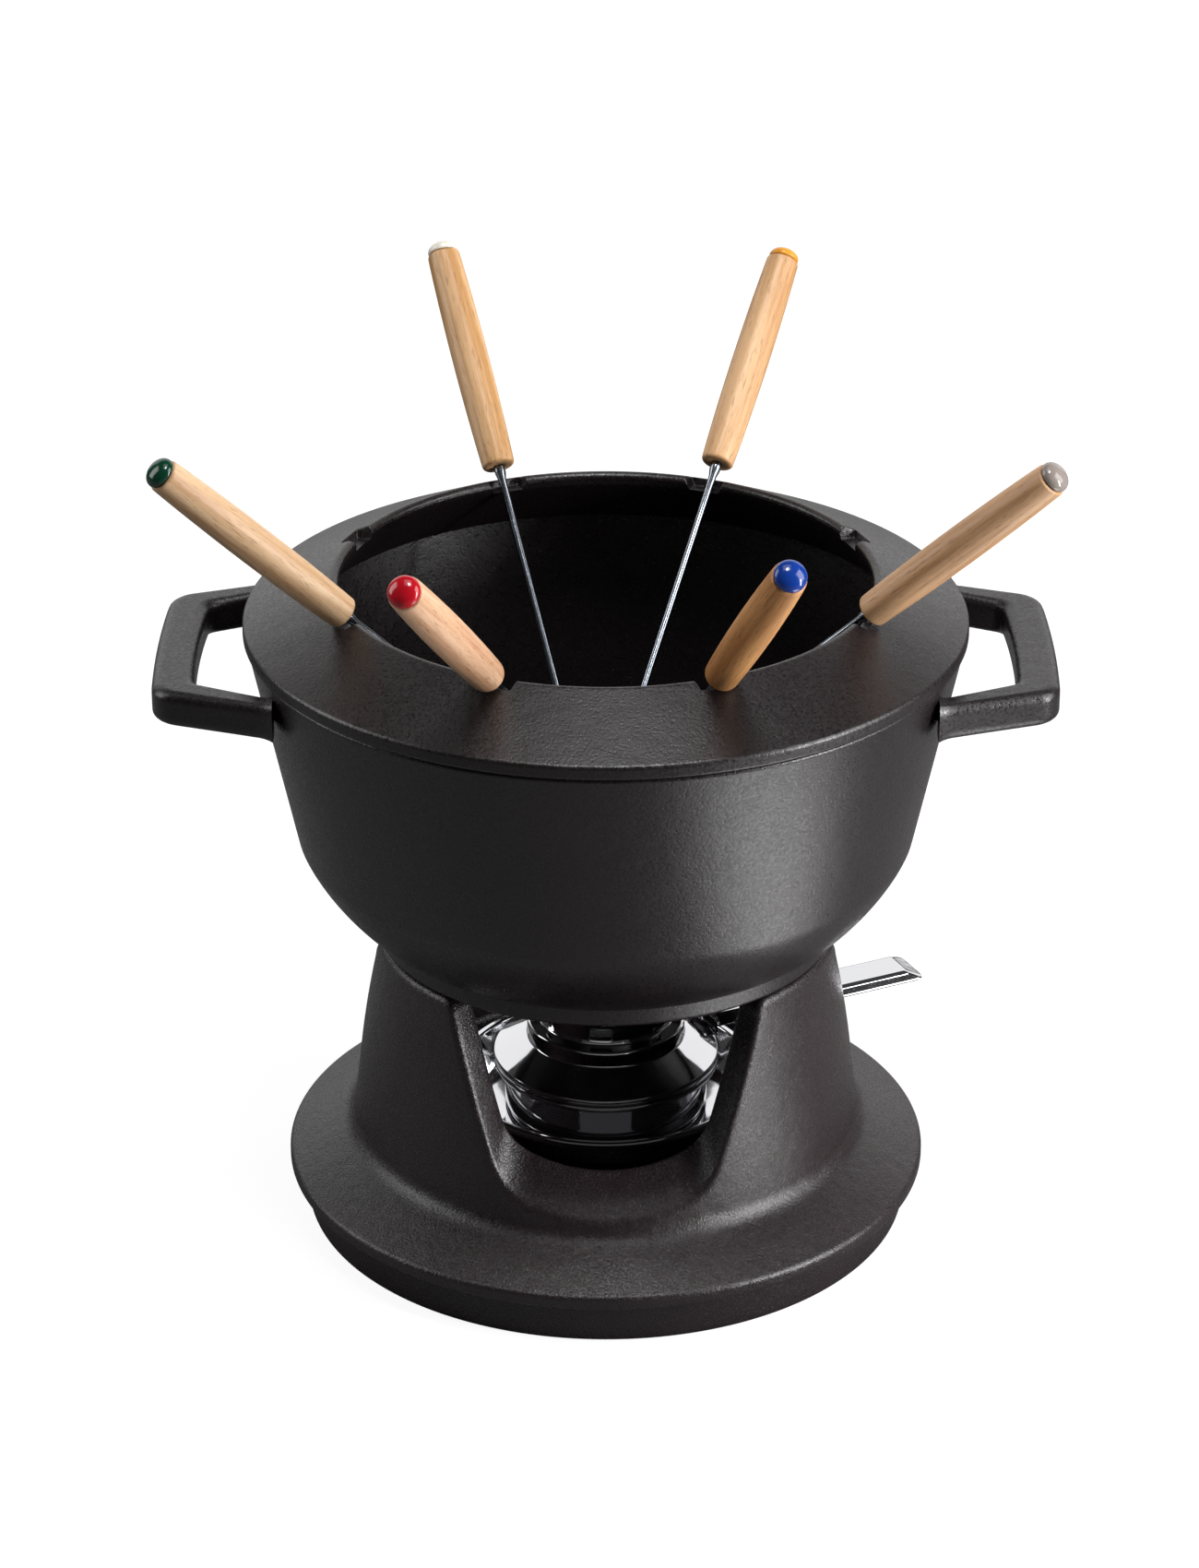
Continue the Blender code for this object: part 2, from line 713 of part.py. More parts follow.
def make_regulator_handle(levels, parent):
    """Pressed strip with turned-down edges and end, and a tab spot-welded to the cover's lip."""
    half, flat = BAR_WIDTH / 2, BAR_FLAT / 2
    top, edge = BAR_TOP_Z, BAR_TOP_Z - BAR_DROP
    start = LIP_R + SEAT_GAP
    section = [
        (-half, edge),
        (-flat, top),
        (flat, top),
        (half, edge),
        (half, edge - SHEET),
        (flat, top - SHEET),
        (-flat, top - SHEET),
        (-half, edge - SHEET),
    ]
    slope = BAR_DROP + SHEET
    sections = [
        [(start + SHEET * 0.5, y, z) for y, z in section],
        [(BAR_END_R - slope, y, z) for y, z in section],
        [(BAR_END_R, y, z - (BAR_DROP if abs(y) < half else 0)) for y, z in section],
    ]
    strip = add_object("regulator_handle", lofted_shape(sections), CHROME, parent)
    tab_half = BAR_TAB_WIDTH / 2
    tab_outline = [
        (start, -tab_half),
        (start + SHEET, -tab_half),
        (start + SHEET, tab_half),
        (start, tab_half),
    ]
    tab = prism("tab_tool", tab_outline, levels["lip"], top - 0.4 * SHEET)
    tab.parent = parent
    boolean(strip, tab, "UNION")


def make_burner():
    """The burner's fixed pieces, and the regulator on its empty on the turning axis."""
    levels = burner_levels()
    make_tray(levels)
    make_cup(levels)
    make_wick(levels)
    make_vent_sleeve(levels)
    pivot = add_empty("regulator_pivot", z_turn(BAR_AZIMUTH))
    make_regulator(levels, pivot)
    make_regulator_handle(levels, pivot)


# ================================================================ forks
def fork_matrix(notch, swing, tilt, side, bare):
    """Place of a fork: its origin is its handle's lower end, and +Z points up the handle.

    The bare run between the notch and the handle grows where the pot is too shallow for the rod.
    """
    _, _, _, floor = ring_levels()
    heading = math.radians(notch + swing)
    lean = math.radians(tilt)
    along = Vector(
        (
            math.cos(heading) * math.sin(lean),
            math.sin(heading) * math.sin(lean),
            math.cos(lean),
        )
    )
    across = Vector((-math.sin(heading), math.cos(heading), 0.0))
    over = along.cross(across)
    outward = z_turn(notch)
    lip = outward @ Vector((RING_MOUTH_R + 0.0004, side, floor))
    seat = lip + Vector((0, 0, (ROD_R + SEAT_GAP) / math.sin(lean)))
    _, pot_floor, _, _ = cavity_ends()
    reach = (seat.z - pot_floor - TIP_CLEARANCE) / math.cos(lean)
    end = seat + along * max(bare, FORK_EXPOSED - reach)
    turn = Matrix((across, over, along)).transposed()
    return Matrix.Translation(end) @ turn.to_4x4()


def fork_rod_mesh():
    """Steel rod with a flare under the handle, a tang inside it and a flat two-tined head.

    Its own origin is at the handle's lower end.
    """
    head_top = -FORK_EXPOSED + TINE_LENGTH
    outline = [
        (0.0, TANG_LENGTH),
        (ROD_R, TANG_LENGTH),
        (ROD_R, 0.0),
        (ROD_FLARE_R, -SEAT_GAP),
        (ROD_FLARE_R, -ROD_FLARE_LENGTH * 0.5),
        (ROD_R, -ROD_FLARE_LENGTH),
        (ROD_R, head_top),
        (0.0, head_top),
    ]
    rod = turned("fork_rod_model", outline, STEPS_FORK)
    half, gap = HEAD_WIDTH / 2, HEAD_WIDTH / 2 - TINE_WIDTH
    tip = -FORK_EXPOSED
    right = [
        (gap, head_top - 0.001),
        (gap, tip + 0.0075),
        (gap - 0.0005, tip + 0.0052),
        (gap + 0.0002, tip + 0.0052),
        (half - 0.0006, tip),
        (half, tip + 0.0045),
        (half, head_top + 0.0012),
        (ROD_R * 0.9, head_top + 0.0045),
    ]
    outline_2d = right + [(-x, z) for x, z in reversed(right)]
    sections = [[(x, y, z) for x, z in outline_2d] for y in (-HEAD_T / 2, HEAD_T / 2)]
    head = add_object("fork_head_tool", lofted_shape(sections))
    boolean(rod, head, "UNION")
    return frozen_mesh(rod, "fork_rod")


def fork_handle_mesh():
    """Barrel-shaped wooden handle, bored for the tang below and for the cap's stem above."""
    bore_r = ROD_R + RUN_GAP
    stem_r = CAP_STEM_R + RUN_GAP
    outside = []
    steps = 7
    for index in range(steps + 1):
        share = index / steps
        swell = math.sin(math.pi * share) ** 0.8 if 0 < share < 1 else 0.0
        radius = HANDLE_END_R + (HANDLE_MID_R - HANDLE_END_R) * swell
        outside.append((radius, HANDLE_LENGTH * share))
    outside[0] = (HANDLE_END_R, 0.0008)
    outside[-1] = (HANDLE_END_R, HANDLE_LENGTH - 0.0006)
    outline = [
        (0.0, TANG_LENGTH + SEAT_GAP),
        (bore_r, TANG_LENGTH + SEAT_GAP),
        (bore_r, 0.0),
        (HANDLE_END_R - 0.0008, 0.0),
        *outside,
        (HANDLE_END_R - 0.0005, HANDLE_LENGTH),
        (stem_r, HANDLE_LENGTH),
        (stem_r, HANDLE_LENGTH - CAP_STEM_LENGTH - SEAT_GAP),
        (0.0, HANDLE_LENGTH - CAP_STEM_LENGTH - SEAT_GAP),
    ]
    return frozen_mesh(turned("fork_handle_model", outline, STEPS_FORK), "fork_handle")


def fork_cap_mesh():
    """Coloured plug: a dome over the handle's end and a stem inside it."""
    seat = HANDLE_LENGTH + SEAT_GAP
    outline = [
        (0.0, HANDLE_LENGTH - CAP_STEM_LENGTH),
        (CAP_STEM_R, HANDLE_LENGTH - CAP_STEM_LENGTH),
        (CAP_STEM_R, seat),
        (CAP_R, seat),
    ]
    for step in range(1, 4):
        turn = math.radians(90) * step / 4
        outline.append((CAP_R * math.cos(turn), seat + CAP_DOME * math.sin(turn)))
    outline.append((0.0, seat + CAP_DOME))
    return frozen_mesh(turned("fork_cap_model", outline, STEPS_FORK), "fork_cap")


def make_forks():
    """Six equal forks; each leans out of its notch with its tines near the pot's floor."""
    rod, handle, cap = fork_rod_mesh(), fork_handle_mesh(), fork_cap_mesh()
    for name, notch, swing, tilt, side, bare in FORKS:
        axis = add_empty(f"fork_axis_{name}", fork_matrix(notch, swing, tilt, side, bare))
        add_mesh_object(f"fork_rod_{name}", rod, STEEL, axis)
        add_mesh_object(f"fork_handle_{name}", handle, WOOD, axis)
        finish = (f"cap_{name}", CAP_COLOURS[name], 0.0, 0.12)
        add_mesh_object(f"fork_cap_{name}", cap.copy(), finish, axis)


def main():
    """Builds the whole set."""
    clear_scene()
    make_stand()
    make_pot()
    make_ring()
    make_burner()
    make_forks()


main()
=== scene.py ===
"""Looks of a fondue pot set: enamelled castings, chromed burner, steel forks with wooden handles.

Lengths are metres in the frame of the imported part: +Z up, the front faces -Y, azimuths are degrees
about +Z counted from +X. Every surface is a grid of points worked out with numpy.
"""

import json
import logging
import math
from dataclasses import dataclass, field
from enum import Enum

import bmesh
import bpy
import numpy as np
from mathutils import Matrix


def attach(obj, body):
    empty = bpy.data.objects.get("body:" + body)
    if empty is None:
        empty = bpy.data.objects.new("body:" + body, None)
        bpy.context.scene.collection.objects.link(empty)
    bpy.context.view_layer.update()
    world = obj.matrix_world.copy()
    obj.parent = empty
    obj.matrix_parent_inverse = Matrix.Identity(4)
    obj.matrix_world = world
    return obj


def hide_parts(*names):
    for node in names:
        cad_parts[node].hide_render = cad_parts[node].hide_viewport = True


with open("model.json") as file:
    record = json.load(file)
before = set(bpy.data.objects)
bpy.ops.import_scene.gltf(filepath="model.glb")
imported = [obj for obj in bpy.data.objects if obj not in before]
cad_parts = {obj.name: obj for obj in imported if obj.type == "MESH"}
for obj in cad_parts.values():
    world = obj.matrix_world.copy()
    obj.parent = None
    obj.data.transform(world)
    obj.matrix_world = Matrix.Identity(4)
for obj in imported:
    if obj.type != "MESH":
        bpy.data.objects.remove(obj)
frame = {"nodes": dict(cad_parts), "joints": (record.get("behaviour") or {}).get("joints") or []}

log = logging.getLogger("fondue_set")

Array = np.ndarray
MERGE = 2e-6  # points closer than this are one point


# ================================================================ grids and meshes
def rounded(corners: list[tuple[float, float, float]], steps: int = 7) -> Array:
    """Outline whose corners are arcs.

    Each corner (a, b, radius) becomes the arc that touches both of its sides; the arc is the
    spherical blend of its two end radii. A radius of 0 leaves the corner as it is.

    Args:
        corners: Corners in order, with their radii in metres.
        steps: Straight pieces in each arc.

    Returns:
        Points (n, 2).
    """
    share = np.linspace(0.0, 1.0, steps + 1)[:, None]
    parts = []
    for index, (a, b, radius) in enumerate(corners):
        here = np.array((a, b))
        if radius == 0:
            parts.append(here[None])
            continue
        before = np.array(corners[index - 1][:2]) - here
        after = np.array(corners[(index + 1) % len(corners)][:2]) - here
        before, after = before / np.linalg.norm(before), after / np.linalg.norm(after)
        half = math.acos(float(np.clip(before @ after, -1, 1))) / 2
        middle = (before + after) / np.linalg.norm(before + after)
        centre = here + middle * radius / math.sin(half)
        start = here + before * radius / math.tan(half) - centre
        end = here + after * radius / math.tan(half) - centre
        sweep = math.pi - 2 * half
        arc = np.sin((1 - share) * sweep) * start + np.sin(share * sweep) * end
        parts.append(centre + arc / math.sin(sweep))
    return np.concatenate(parts)


def supported(line: Array, support: float = 0.0004, closed: bool = False) -> Array:
    """Adds a point just inside both ends of each long straight piece, so that shading stays flat there.

    Args:
        line: Points (n, 2) or (n, 3).
        support: Distance from a piece's end to its added point.
        closed: Whether the last point joins the first.

    Returns:
        The line with the added points.
    """
    step = np.roll(line, -1, 0) - line
    length = np.linalg.norm(step, axis=1)
    if not closed:
        length[-1] = 0.0
    unit = step / np.maximum(length, 1e-9)[:, None]
    stacked = np.stack([line, line + unit * support, line + step - unit * support], 1)
    long_ones = length > 3 * support
    return stacked[np.stack([np.ones_like(long_ones), long_ones, long_ones], 1)]


def divided(line: Array, spacing: float) -> Array:
    """Divides each piece of a line evenly, so that no piece is longer than a spacing."""
    length = np.linalg.norm(np.diff(line, axis=0), axis=1)
    counts = np.maximum(np.ceil(length / spacing).astype(int), 1)
    places = np.concatenate([index + np.arange(count) / count for index, count in enumerate(counts)])
    places = np.append(places, len(line) - 1)
    index = np.arange(len(line))
    return np.stack([np.interp(places, index, line[:, axis]) for axis in range(line.shape[1])], 1)


def turned(profile: Array, azimuths: Array) -> Array:
    """Carries a (radius, height) profile round Z: x = r cos(azimuth), y = r sin(azimuth).

    Args:
        profile: Points (n, 2).
        azimuths: Angles in radians; the last one joins the first.

    Returns:
        Grid (n, len(azimuths) + 1, 3).
    """
    around = np.append(azimuths, azimuths[0])
    radius, height = profile[:, 0:1], profile[:, 1:2]
    return np.stack([radius * np.cos(around), radius * np.sin(around), height + 0 * around], 2)


def circle(count: int, start: float = 0.0) -> Array:
    """Evenly spaced angles round a full turn, in radians."""
    return math.radians(start) + np.arange(count) * math.tau / count


def turn_about_z(points: Array, degrees: float) -> Array:
    """Turns points about Z."""
    c, s = math.cos(math.radians(degrees)), math.sin(math.radians(degrees))
    return points @ np.array([[c, s, 0], [-s, c, 0], [0, 0, 1]])


def bezier(start: Array, middle: Array, end: Array, count: int) -> Array:
    """Quadratic curves (1-s)^2 A + 2s(1-s) B + s^2 C between rows of points.

    Args:
        start: First points (n, 3).
        middle: Control points (n, 3).
        end: Last points (n, 3).
        count: Points on each curve.

    Returns:
        Grid (n, count, 3).
    """
    s = np.linspace(0, 1, count)[None, :, None]
    return (1 - s) ** 2 * start[:, None] + 2 * s * (1 - s) * middle[:, None] + s**2 * end[:, None]


def smooth_step(value: Array) -> Array:
    """3t^2 - 2t^3, with t held between 0 and 1."""
    t = np.clip(value, 0, 1)
    return t * t * (3 - 2 * t)


def linked(name: str, data: bpy.types.ID) -> bpy.types.Object:
    """A new object of some data, linked into the scene."""
    made = bpy.data.objects.new(name, data)
    bpy.context.scene.collection.objects.link(made)
    return made


@dataclass
class Skin:
    """Grids of points that together make one closed mesh."""

    points: list[Array] = field(default_factory=list)
    faces: list[Array] = field(default_factory=list)
    slots: list[Array] = field(default_factory=list)
    count: int = 0

    def add(self, grid: Array, slot: int = 0, keep: Array | None = None) -> "Skin":
        """Adds a grid of quads.

        Args:
            grid: Points (rows, columns, 3).
            slot: Material slot of its faces.
            keep: Which quads (rows - 1, columns - 1) to keep; all if it is left out.

        Returns:
            The skin itself.
        """
        rows, columns = grid.shape[:2]
        number = np.arange(rows * columns).reshape(rows, columns) + self.count
        quads = np.stack([number[:-1, :-1], number[:-1, 1:], number[1:, 1:], number[1:, :-1]], 2)
        quads = quads[keep] if keep is not None else quads.reshape(-1, 4)
        self.points.append(grid.reshape(-1, 3))
        self.faces.append(quads)
        self.slots.append(np.full(len(quads), slot))
        self.count += rows * columns
        return self

    def piece(self, name: str, closed: bool = True, sharp: float = 50.0) -> bpy.types.Object:
        """Makes the object: doubles merged, faces outwards, smooth but for sharp edges.

        Args:
            name: The object's name.
            closed: Whether the mesh is a closed solid, whose faces are then turned outwards.
            sharp: Angle in degrees past which an edge stays sharp.

        Returns:
            The object, at the origin.
        """
        mesh = bpy.data.meshes.new(name)
        mesh.from_pydata(np.concatenate(self.points), [], np.concatenate(self.faces))
        mesh.polygons.foreach_set("material_index", np.concatenate(self.slots).astype(np.int32))
        shape = bmesh.new()
        shape.from_mesh(mesh)
        bmesh.ops.remove_doubles(shape, verts=shape.verts, dist=MERGE)
        bmesh.ops.dissolve_degenerate(shape, edges=shape.edges, dist=MERGE / 4)
        if closed:
            bmesh.ops.recalc_face_normals(shape, faces=shape.faces)
        shape.to_mesh(mesh)
        shape.free()
        mesh.shade_smooth()
        mesh.set_sharp_from_angle(angle=math.radians(sharp))
        return linked(name, mesh)


def thickened(made: bpy.types.Object, thickness: float, edge: float, even: bool = False) -> None:
    """Gives a sheet its thickness inwards and breaks its edges.

    Args:
        made: The sheet.
        thickness: Thickness of the metal.
        edge: Width of the bevel on its edges.
        even: Whether the thickness is kept the same round bends.
    """
    wall = made.modifiers.new("sheet_thickness", "SOLIDIFY")
    wall.thickness, wall.offset, wall.use_even_offset = thickness, -1.0, even
    edges = made.modifiers.new("broken_edges", "BEVEL")
    edges.width, edges.segments = edge, 2
    edges.limit_method, edges.angle_limit = "ANGLE", math.radians(60)


def settle(made: bpy.types.Object, body: str, slot: str, finishes: list["Finish"], *nodes: str) -> None:
    """Gives a piece its finishes, parents it to the empty of the body that it rides on and hides the CAD
    nodes that it stands for.

    Args:
        made: The piece.
        body: CAD body that carries it.
        slot: The record's material slot; not used.
        finishes: One finish for each of its material slots.
        nodes: CAD nodes that it replaces.
    """
    made.data.materials.clear()
    for finish in finishes:
        made.data.materials.append(finish.material())
    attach(made, body)
    if nodes:
        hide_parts(*nodes)
    log.info("%s rides on %s, %d faces", made.name, body, len(made.data.polygons))


# ================================================================ finishes
def hex_colour(code: str) -> tuple[float, float, float, float]:
    """Turns an sRGB hex colour into linear RGBA."""
    shares = np.array([int(code[index : index + 2], 16) for index in (1, 3, 5)]) / 255
    linear = np.where(shares <= 0.04045, shares / 12.92, ((shares + 0.055) / 1.055) ** 2.4)
    return (*linear.tolist(), 1.0)


def feed(node: bpy.types.Node, values: dict | None = None, links: dict | None = None) -> None:
    """Sets a node's inputs, by socket name or number.

    Args:
        node: The node.
        values: Input values.
        links: Output sockets of other nodes.
    """
    for key, value in (values or {}).items():
        node.inputs[key].default_value = value
    for key, source in (links or {}).items():
        node.id_data.links.new(source, node.inputs[key])


def add_node(
    tree: bpy.types.NodeTree,
    kind: str,
    settings: dict | None = None,
    values: dict | None = None,
    links: dict | None = None,
) -> bpy.types.Node:
    """Adds a node.

    Args:
        tree: The material's node tree.
        kind: Blender's name for the kind of node.
        settings: Properties of the node.
        values: Input values by socket name or number.
        links: Output sockets of other nodes, by this node's input name or number.

    Returns:
        The node.
    """
    made = tree.nodes.new(kind)
    for key, value in (settings or {}).items():
        setattr(made, key, value)
    feed(made, values, links)
    return made


def per_mm(millimetres: float) -> float:
    """Texture scale at which a pattern repeats about once in that many millimetres."""
    return 1000.0 / millimetres


@dataclass(frozen=True)
class Finish:
    """A surface finish; a subclass wires its nodes to the shader."""

    name: str

    def material(self) -> bpy.types.Material:
        """The Blender material, made when it is first asked for."""
        made = bpy.data.materials.get(self.name)
        if made is None:
            made = bpy.data.materials.new(self.name)
            made.use_nodes = True
            self.dress(made.node_tree, made.node_tree.nodes["Principled BSDF"])
        return made

    def dress(self, tree: bpy.types.NodeTree, shader: bpy.types.Node) -> None:
        """Wires the finish; the plain finish has nothing to wire."""


@dataclass(frozen=True)
class CastEnamel(Finish):
    """Vitreous enamel fired on sand-cast iron: near black, with the grain of the casting under it.

    The eye gets a soft broad highlight, broken up by an orange-peel relief, and small glints where
    the grain tips towards a light.
    """

    dark: str = "#110c0e"
    light: str = "#191214"
    roughness: float = 0.34
    spread: float = 0.12  # how far the roughness wanders
    grain_mm: float = 0.9
    grain_depth: float = 0.00013
    wave_mm: float = 7.0
    wave_depth: float = 0.00010

    def dress(self, tree: bpy.types.NodeTree, shader: bpy.types.Node) -> None:
        """Cloudy colour, uneven gloss, fine grain and a slow waviness."""
        place = add_node(tree, "ShaderNodeTexCoord").outputs["Object"]
        cloud = add_node(
            tree, "ShaderNodeTexNoise", values={"Scale": per_mm(18), "Detail": 3.0}, links={"Vector": place}
        )
        grain = add_node(
            tree,
            "ShaderNodeTexNoise",
            values={"Scale": per_mm(self.grain_mm), "Detail": 3.0, "Roughness": 0.62},
            links={"Vector": place},
        )
        wave_scale = {"Scale": per_mm(self.wave_mm), "Detail": 1.0}
        wave = add_node(tree, "ShaderNodeTexNoise", values=wave_scale, links={"Vector": place})
        colour = add_node(
            tree,
            "ShaderNodeMix",
            {"data_type": "RGBA"},
            {6: hex_colour(self.dark), 7: hex_colour(self.light)},
            {0: cloud.outputs["Fac"]},
        )
        gloss = add_node(
            tree,
            "ShaderNodeMapRange",
            values={
                "From Min": 0.3,
                "From Max": 0.7,
                "To Min": self.roughness - self.spread,
                "To Max": self.roughness + self.spread,
            },
            links={"Value": grain.outputs["Fac"]},
        )
        slow = add_node(
            tree,
            "ShaderNodeBump",
            values={"Strength": 1.0, "Distance": self.wave_depth},
            links={"Height": wave.outputs["Fac"]},
        )
        fine = add_node(
            tree,
            "ShaderNodeBump",
            values={"Strength": 1.0, "Distance": self.grain_depth},
            links={"Height": grain.outputs["Fac"], "Normal": slow.outputs["Normal"]},
        )
        surface = {"Base Color": colour.outputs[2], "Roughness": gloss.outputs[0], "Normal": fine.outputs[0]}
        feed(shader, {"IOR": 1.52}, surface)


@dataclass(frozen=True)
class PolishedMetal(Finish):
    """Bare or plated metal, pressed and polished, with faint wipe marks in its gloss."""

    tint: str = "#e3e3e6"
    roughness: float = 0.05
    marks: float = 0.05
    mark_mm: float = 9.0
    dent_depth: float = 0.00003

    def dress(self, tree: bpy.types.NodeTree, shader: bpy.types.Node) -> None:
        """Gloss that wanders in stretched patches, and a press's slight waviness."""
        place = add_node(tree, "ShaderNodeTexCoord").outputs["Object"]
        stretch = add_node(
            tree, "ShaderNodeMapping", values={"Scale": (1.0, 1.0, 4.0)}, links={"Vector": place}
        )
        wipe = add_node(
            tree,
            "ShaderNodeTexNoise",
            values={"Scale": per_mm(self.mark_mm), "Detail": 5.0, "Roughness": 0.7},
            links={"Vector": stretch.outputs["Vector"]},
        )
        gloss = add_node(
            tree,
            "ShaderNodeMapRange",
            values={
                "From Min": 0.35,
                "From Max": 0.75,
                "To Min": self.roughness,
                "To Max": self.roughness + self.marks,
            },
            links={"Value": wipe.outputs["Fac"]},
        )
        dents = add_node(
            tree, "ShaderNodeTexNoise", values={"Scale": per_mm(6), "Detail": 1.0}, links={"Vector": place}
        )
        bump = add_node(
            tree,
            "ShaderNodeBump",
            values={"Strength": 1.0, "Distance": self.dent_depth},
            links={"Height": dents.outputs["Fac"]},
        )
        surface = {"Roughness": gloss.outputs[0], "Normal": bump.outputs[0]}
        feed(shader, {"Base Color": hex_colour(self.tint), "Metallic": 1.0}, surface)


@dataclass(frozen=True)
class OiledWood(Finish):
    """Oiled ring-porous hardwood, turned along the grain: pale streaks and short dark pores.

    It reads the attribute "grain", a place in the handle's own axes with Z along the handle.
    The real pores are about 0.2 mm wide; they are drawn 0.35 mm wide so that they show.
    """

    pale: str = "#c99a6c"
    deep: str = "#a06a3c"
    pore: str = "#6a4022"

    def dress(self, tree: bpy.types.NodeTree, shader: bpy.types.Node) -> None:
        """Streaks, year rings and pores in colour, gloss and relief."""
        place = add_node(tree, "ShaderNodeAttribute", {"attribute_name": "grain"}).outputs["Vector"]
        layers = []  # width and length of a streak in mm, detail, roughness
        for width, length, detail, rough in ((0.9, 26, 4.0, 0.6), (3.2, 70, 2.0, 0.5), (0.35, 4.0, 1.0, 0.5)):
            scale = (per_mm(width), per_mm(width), per_mm(length))
            drawn = add_node(tree, "ShaderNodeMapping", values={"Scale": scale}, links={"Vector": place})
            noise = add_node(
                tree,
                "ShaderNodeTexNoise",
                values={"Scale": 1.0, "Detail": detail, "Roughness": rough},
                links={"Vector": drawn.outputs["Vector"]},
            )
            layers.append(noise.outputs["Fac"])
        streaks, rings, pores = layers
        mixed = add_node(
            tree,
            "ShaderNodeMath",
            {"operation": "MULTIPLY_ADD"},
            {1: 0.55},
            {0: streaks, 2: rings},
        )
        tone = add_node(
            tree,
            "ShaderNodeMapRange",
            values={"From Min": 0.62, "From Max": 0.96, "To Min": 0.0, "To Max": 1.0},
            links={"Value": mixed.outputs["Value"]},
        )
        body = add_node(
            tree,
            "ShaderNodeMix",
            {"data_type": "RGBA"},
            {6: hex_colour(self.pale), 7: hex_colour(self.deep)},
            {0: tone.outputs["Result"]},
        )
        dark = add_node(
            tree,
            "ShaderNodeMapRange",
            values={"From Min": 0.60, "From Max": 0.76, "To Min": 0.0, "To Max": 0.55},
            links={"Value": pores},
        )
        colour = add_node(
            tree,
            "ShaderNodeMix",
            {"data_type": "RGBA"},
            {7: hex_colour(self.pore)},
            {0: dark.outputs["Result"], 6: body.outputs[2]},
        )
        gloss = add_node(
            tree,
            "ShaderNodeMapRange",
            values={"From Min": 0.0, "From Max": 0.75, "To Min": 0.42, "To Max": 0.7},
            links={"Value": dark.outputs["Result"]},
        )
        relief = add_node(
            tree,
            "ShaderNodeBump",
            {"invert": True},
            {"Strength": 1.0, "Distance": 0.00006},
            {"Height": dark.outputs["Result"]},
        )
        surface = {"Base Color": colour.outputs[2], "Roughness": gloss.outputs[0]}
        feed(shader, {"IOR": 1.47}, surface | {"Normal": relief.outputs[0]})


@dataclass(frozen=True)
class MouldedPlastic(Finish):
    """Glossy moulded plastic, evenly coloured, with the faint ripple of the mould."""

    colour: str = "#808080"
    shade: str = "#707070"

    def dress(self, tree: bpy.types.NodeTree, shader: bpy.types.Node) -> None:
        """A slight cloud in the colour and a ripple in the gloss coat."""
        place = add_node(tree, "ShaderNodeTexCoord").outputs["Object"]
        cloud = add_node(
            tree, "ShaderNodeTexNoise", values={"Scale": per_mm(2.5), "Detail": 2.0}, links={"Vector": place}
        )
        tone = add_node(
            tree,
            "ShaderNodeMix",
            {"data_type": "RGBA"},
            {6: hex_colour(self.colour), 7: hex_colour(self.shade)},
            {0: cloud.outputs["Fac"]},
        )
        bump = add_node(
            tree,
            "ShaderNodeBump",
            values={"Strength": 1.0, "Distance": 0.00002},
            links={"Height": cloud.outputs["Fac"]},
        )
        surface = {"Base Color": tone.outputs[2], "Normal": bump.outputs[0]}
        feed(shader, {"Roughness": 0.14, "IOR": 1.5}, surface)


@dataclass(frozen=True)
class Wadding(Finish):
    """Felted mineral wadding: matt, off-white, with loose fibres about 1 mm apart."""

    pale: str = "#cfc8b8"
    deep: str = "#9c9484"

    def dress(self, tree: bpy.types.NodeTree, shader: bpy.types.Node) -> None:
        """Fibrous clumps in colour and relief."""
        place = add_node(tree, "ShaderNodeTexCoord").outputs["Object"]
        clumps = add_node(
            tree,
            "ShaderNodeTexNoise",
            values={"Scale": per_mm(1.1), "Detail": 6.0, "Roughness": 0.75, "Distortion": 1.2},
            links={"Vector": place},
        )
        colour = add_node(
            tree,
            "ShaderNodeMix",
            {"data_type": "RGBA"},
            {6: hex_colour(self.deep), 7: hex_colour(self.pale)},
            {0: clumps.outputs["Fac"]},
        )
        bump = add_node(
            tree,
            "ShaderNodeBump",
            values={"Strength": 1.0, "Distance": 0.0003},
            links={"Height": clumps.outputs["Fac"]},
        )
        feed(shader, {"Roughness": 0.95}, {"Base Color": colour.outputs[2], "Normal": bump.outputs[0]})


class Enamel(Enum):
    """The three enamel surfaces of the castings."""

    MATTE = CastEnamel("satin_black_enamel_on_cast_iron")
    SAND = CastEnamel(
        "grainy_black_enamel_on_sand_cast_iron",
        dark="#181214",
        light="#261e20",
        roughness=0.27,
        spread=0.12,
        grain_mm=0.7,
        grain_depth=0.00022,
        wave_mm=5.0,
        wave_depth=0.00022,
    )
    GLOSS = CastEnamel(
        "glossy_black_enamel_inside_the_pot",
        dark="#050506",
        light="#08080a",
        roughness=0.07,
        spread=0.03,
        grain_mm=2.5,
        grain_depth=0.00003,
        wave_mm=14.0,
        wave_depth=0.00012,
    )


CHROME = PolishedMetal("polished_chrome_plate")
ROD_STEEL = PolishedMetal("drawn_stainless_steel", tint="#858b93", roughness=0.16, marks=0.10, mark_mm=2.0)
GAUZE_WIRE = PolishedMetal("woven_steel_wire", tint="#a9abad", roughness=0.30, marks=0.15, mark_mm=1.0)
WADDING = Wadding("felted_mineral_wadding")


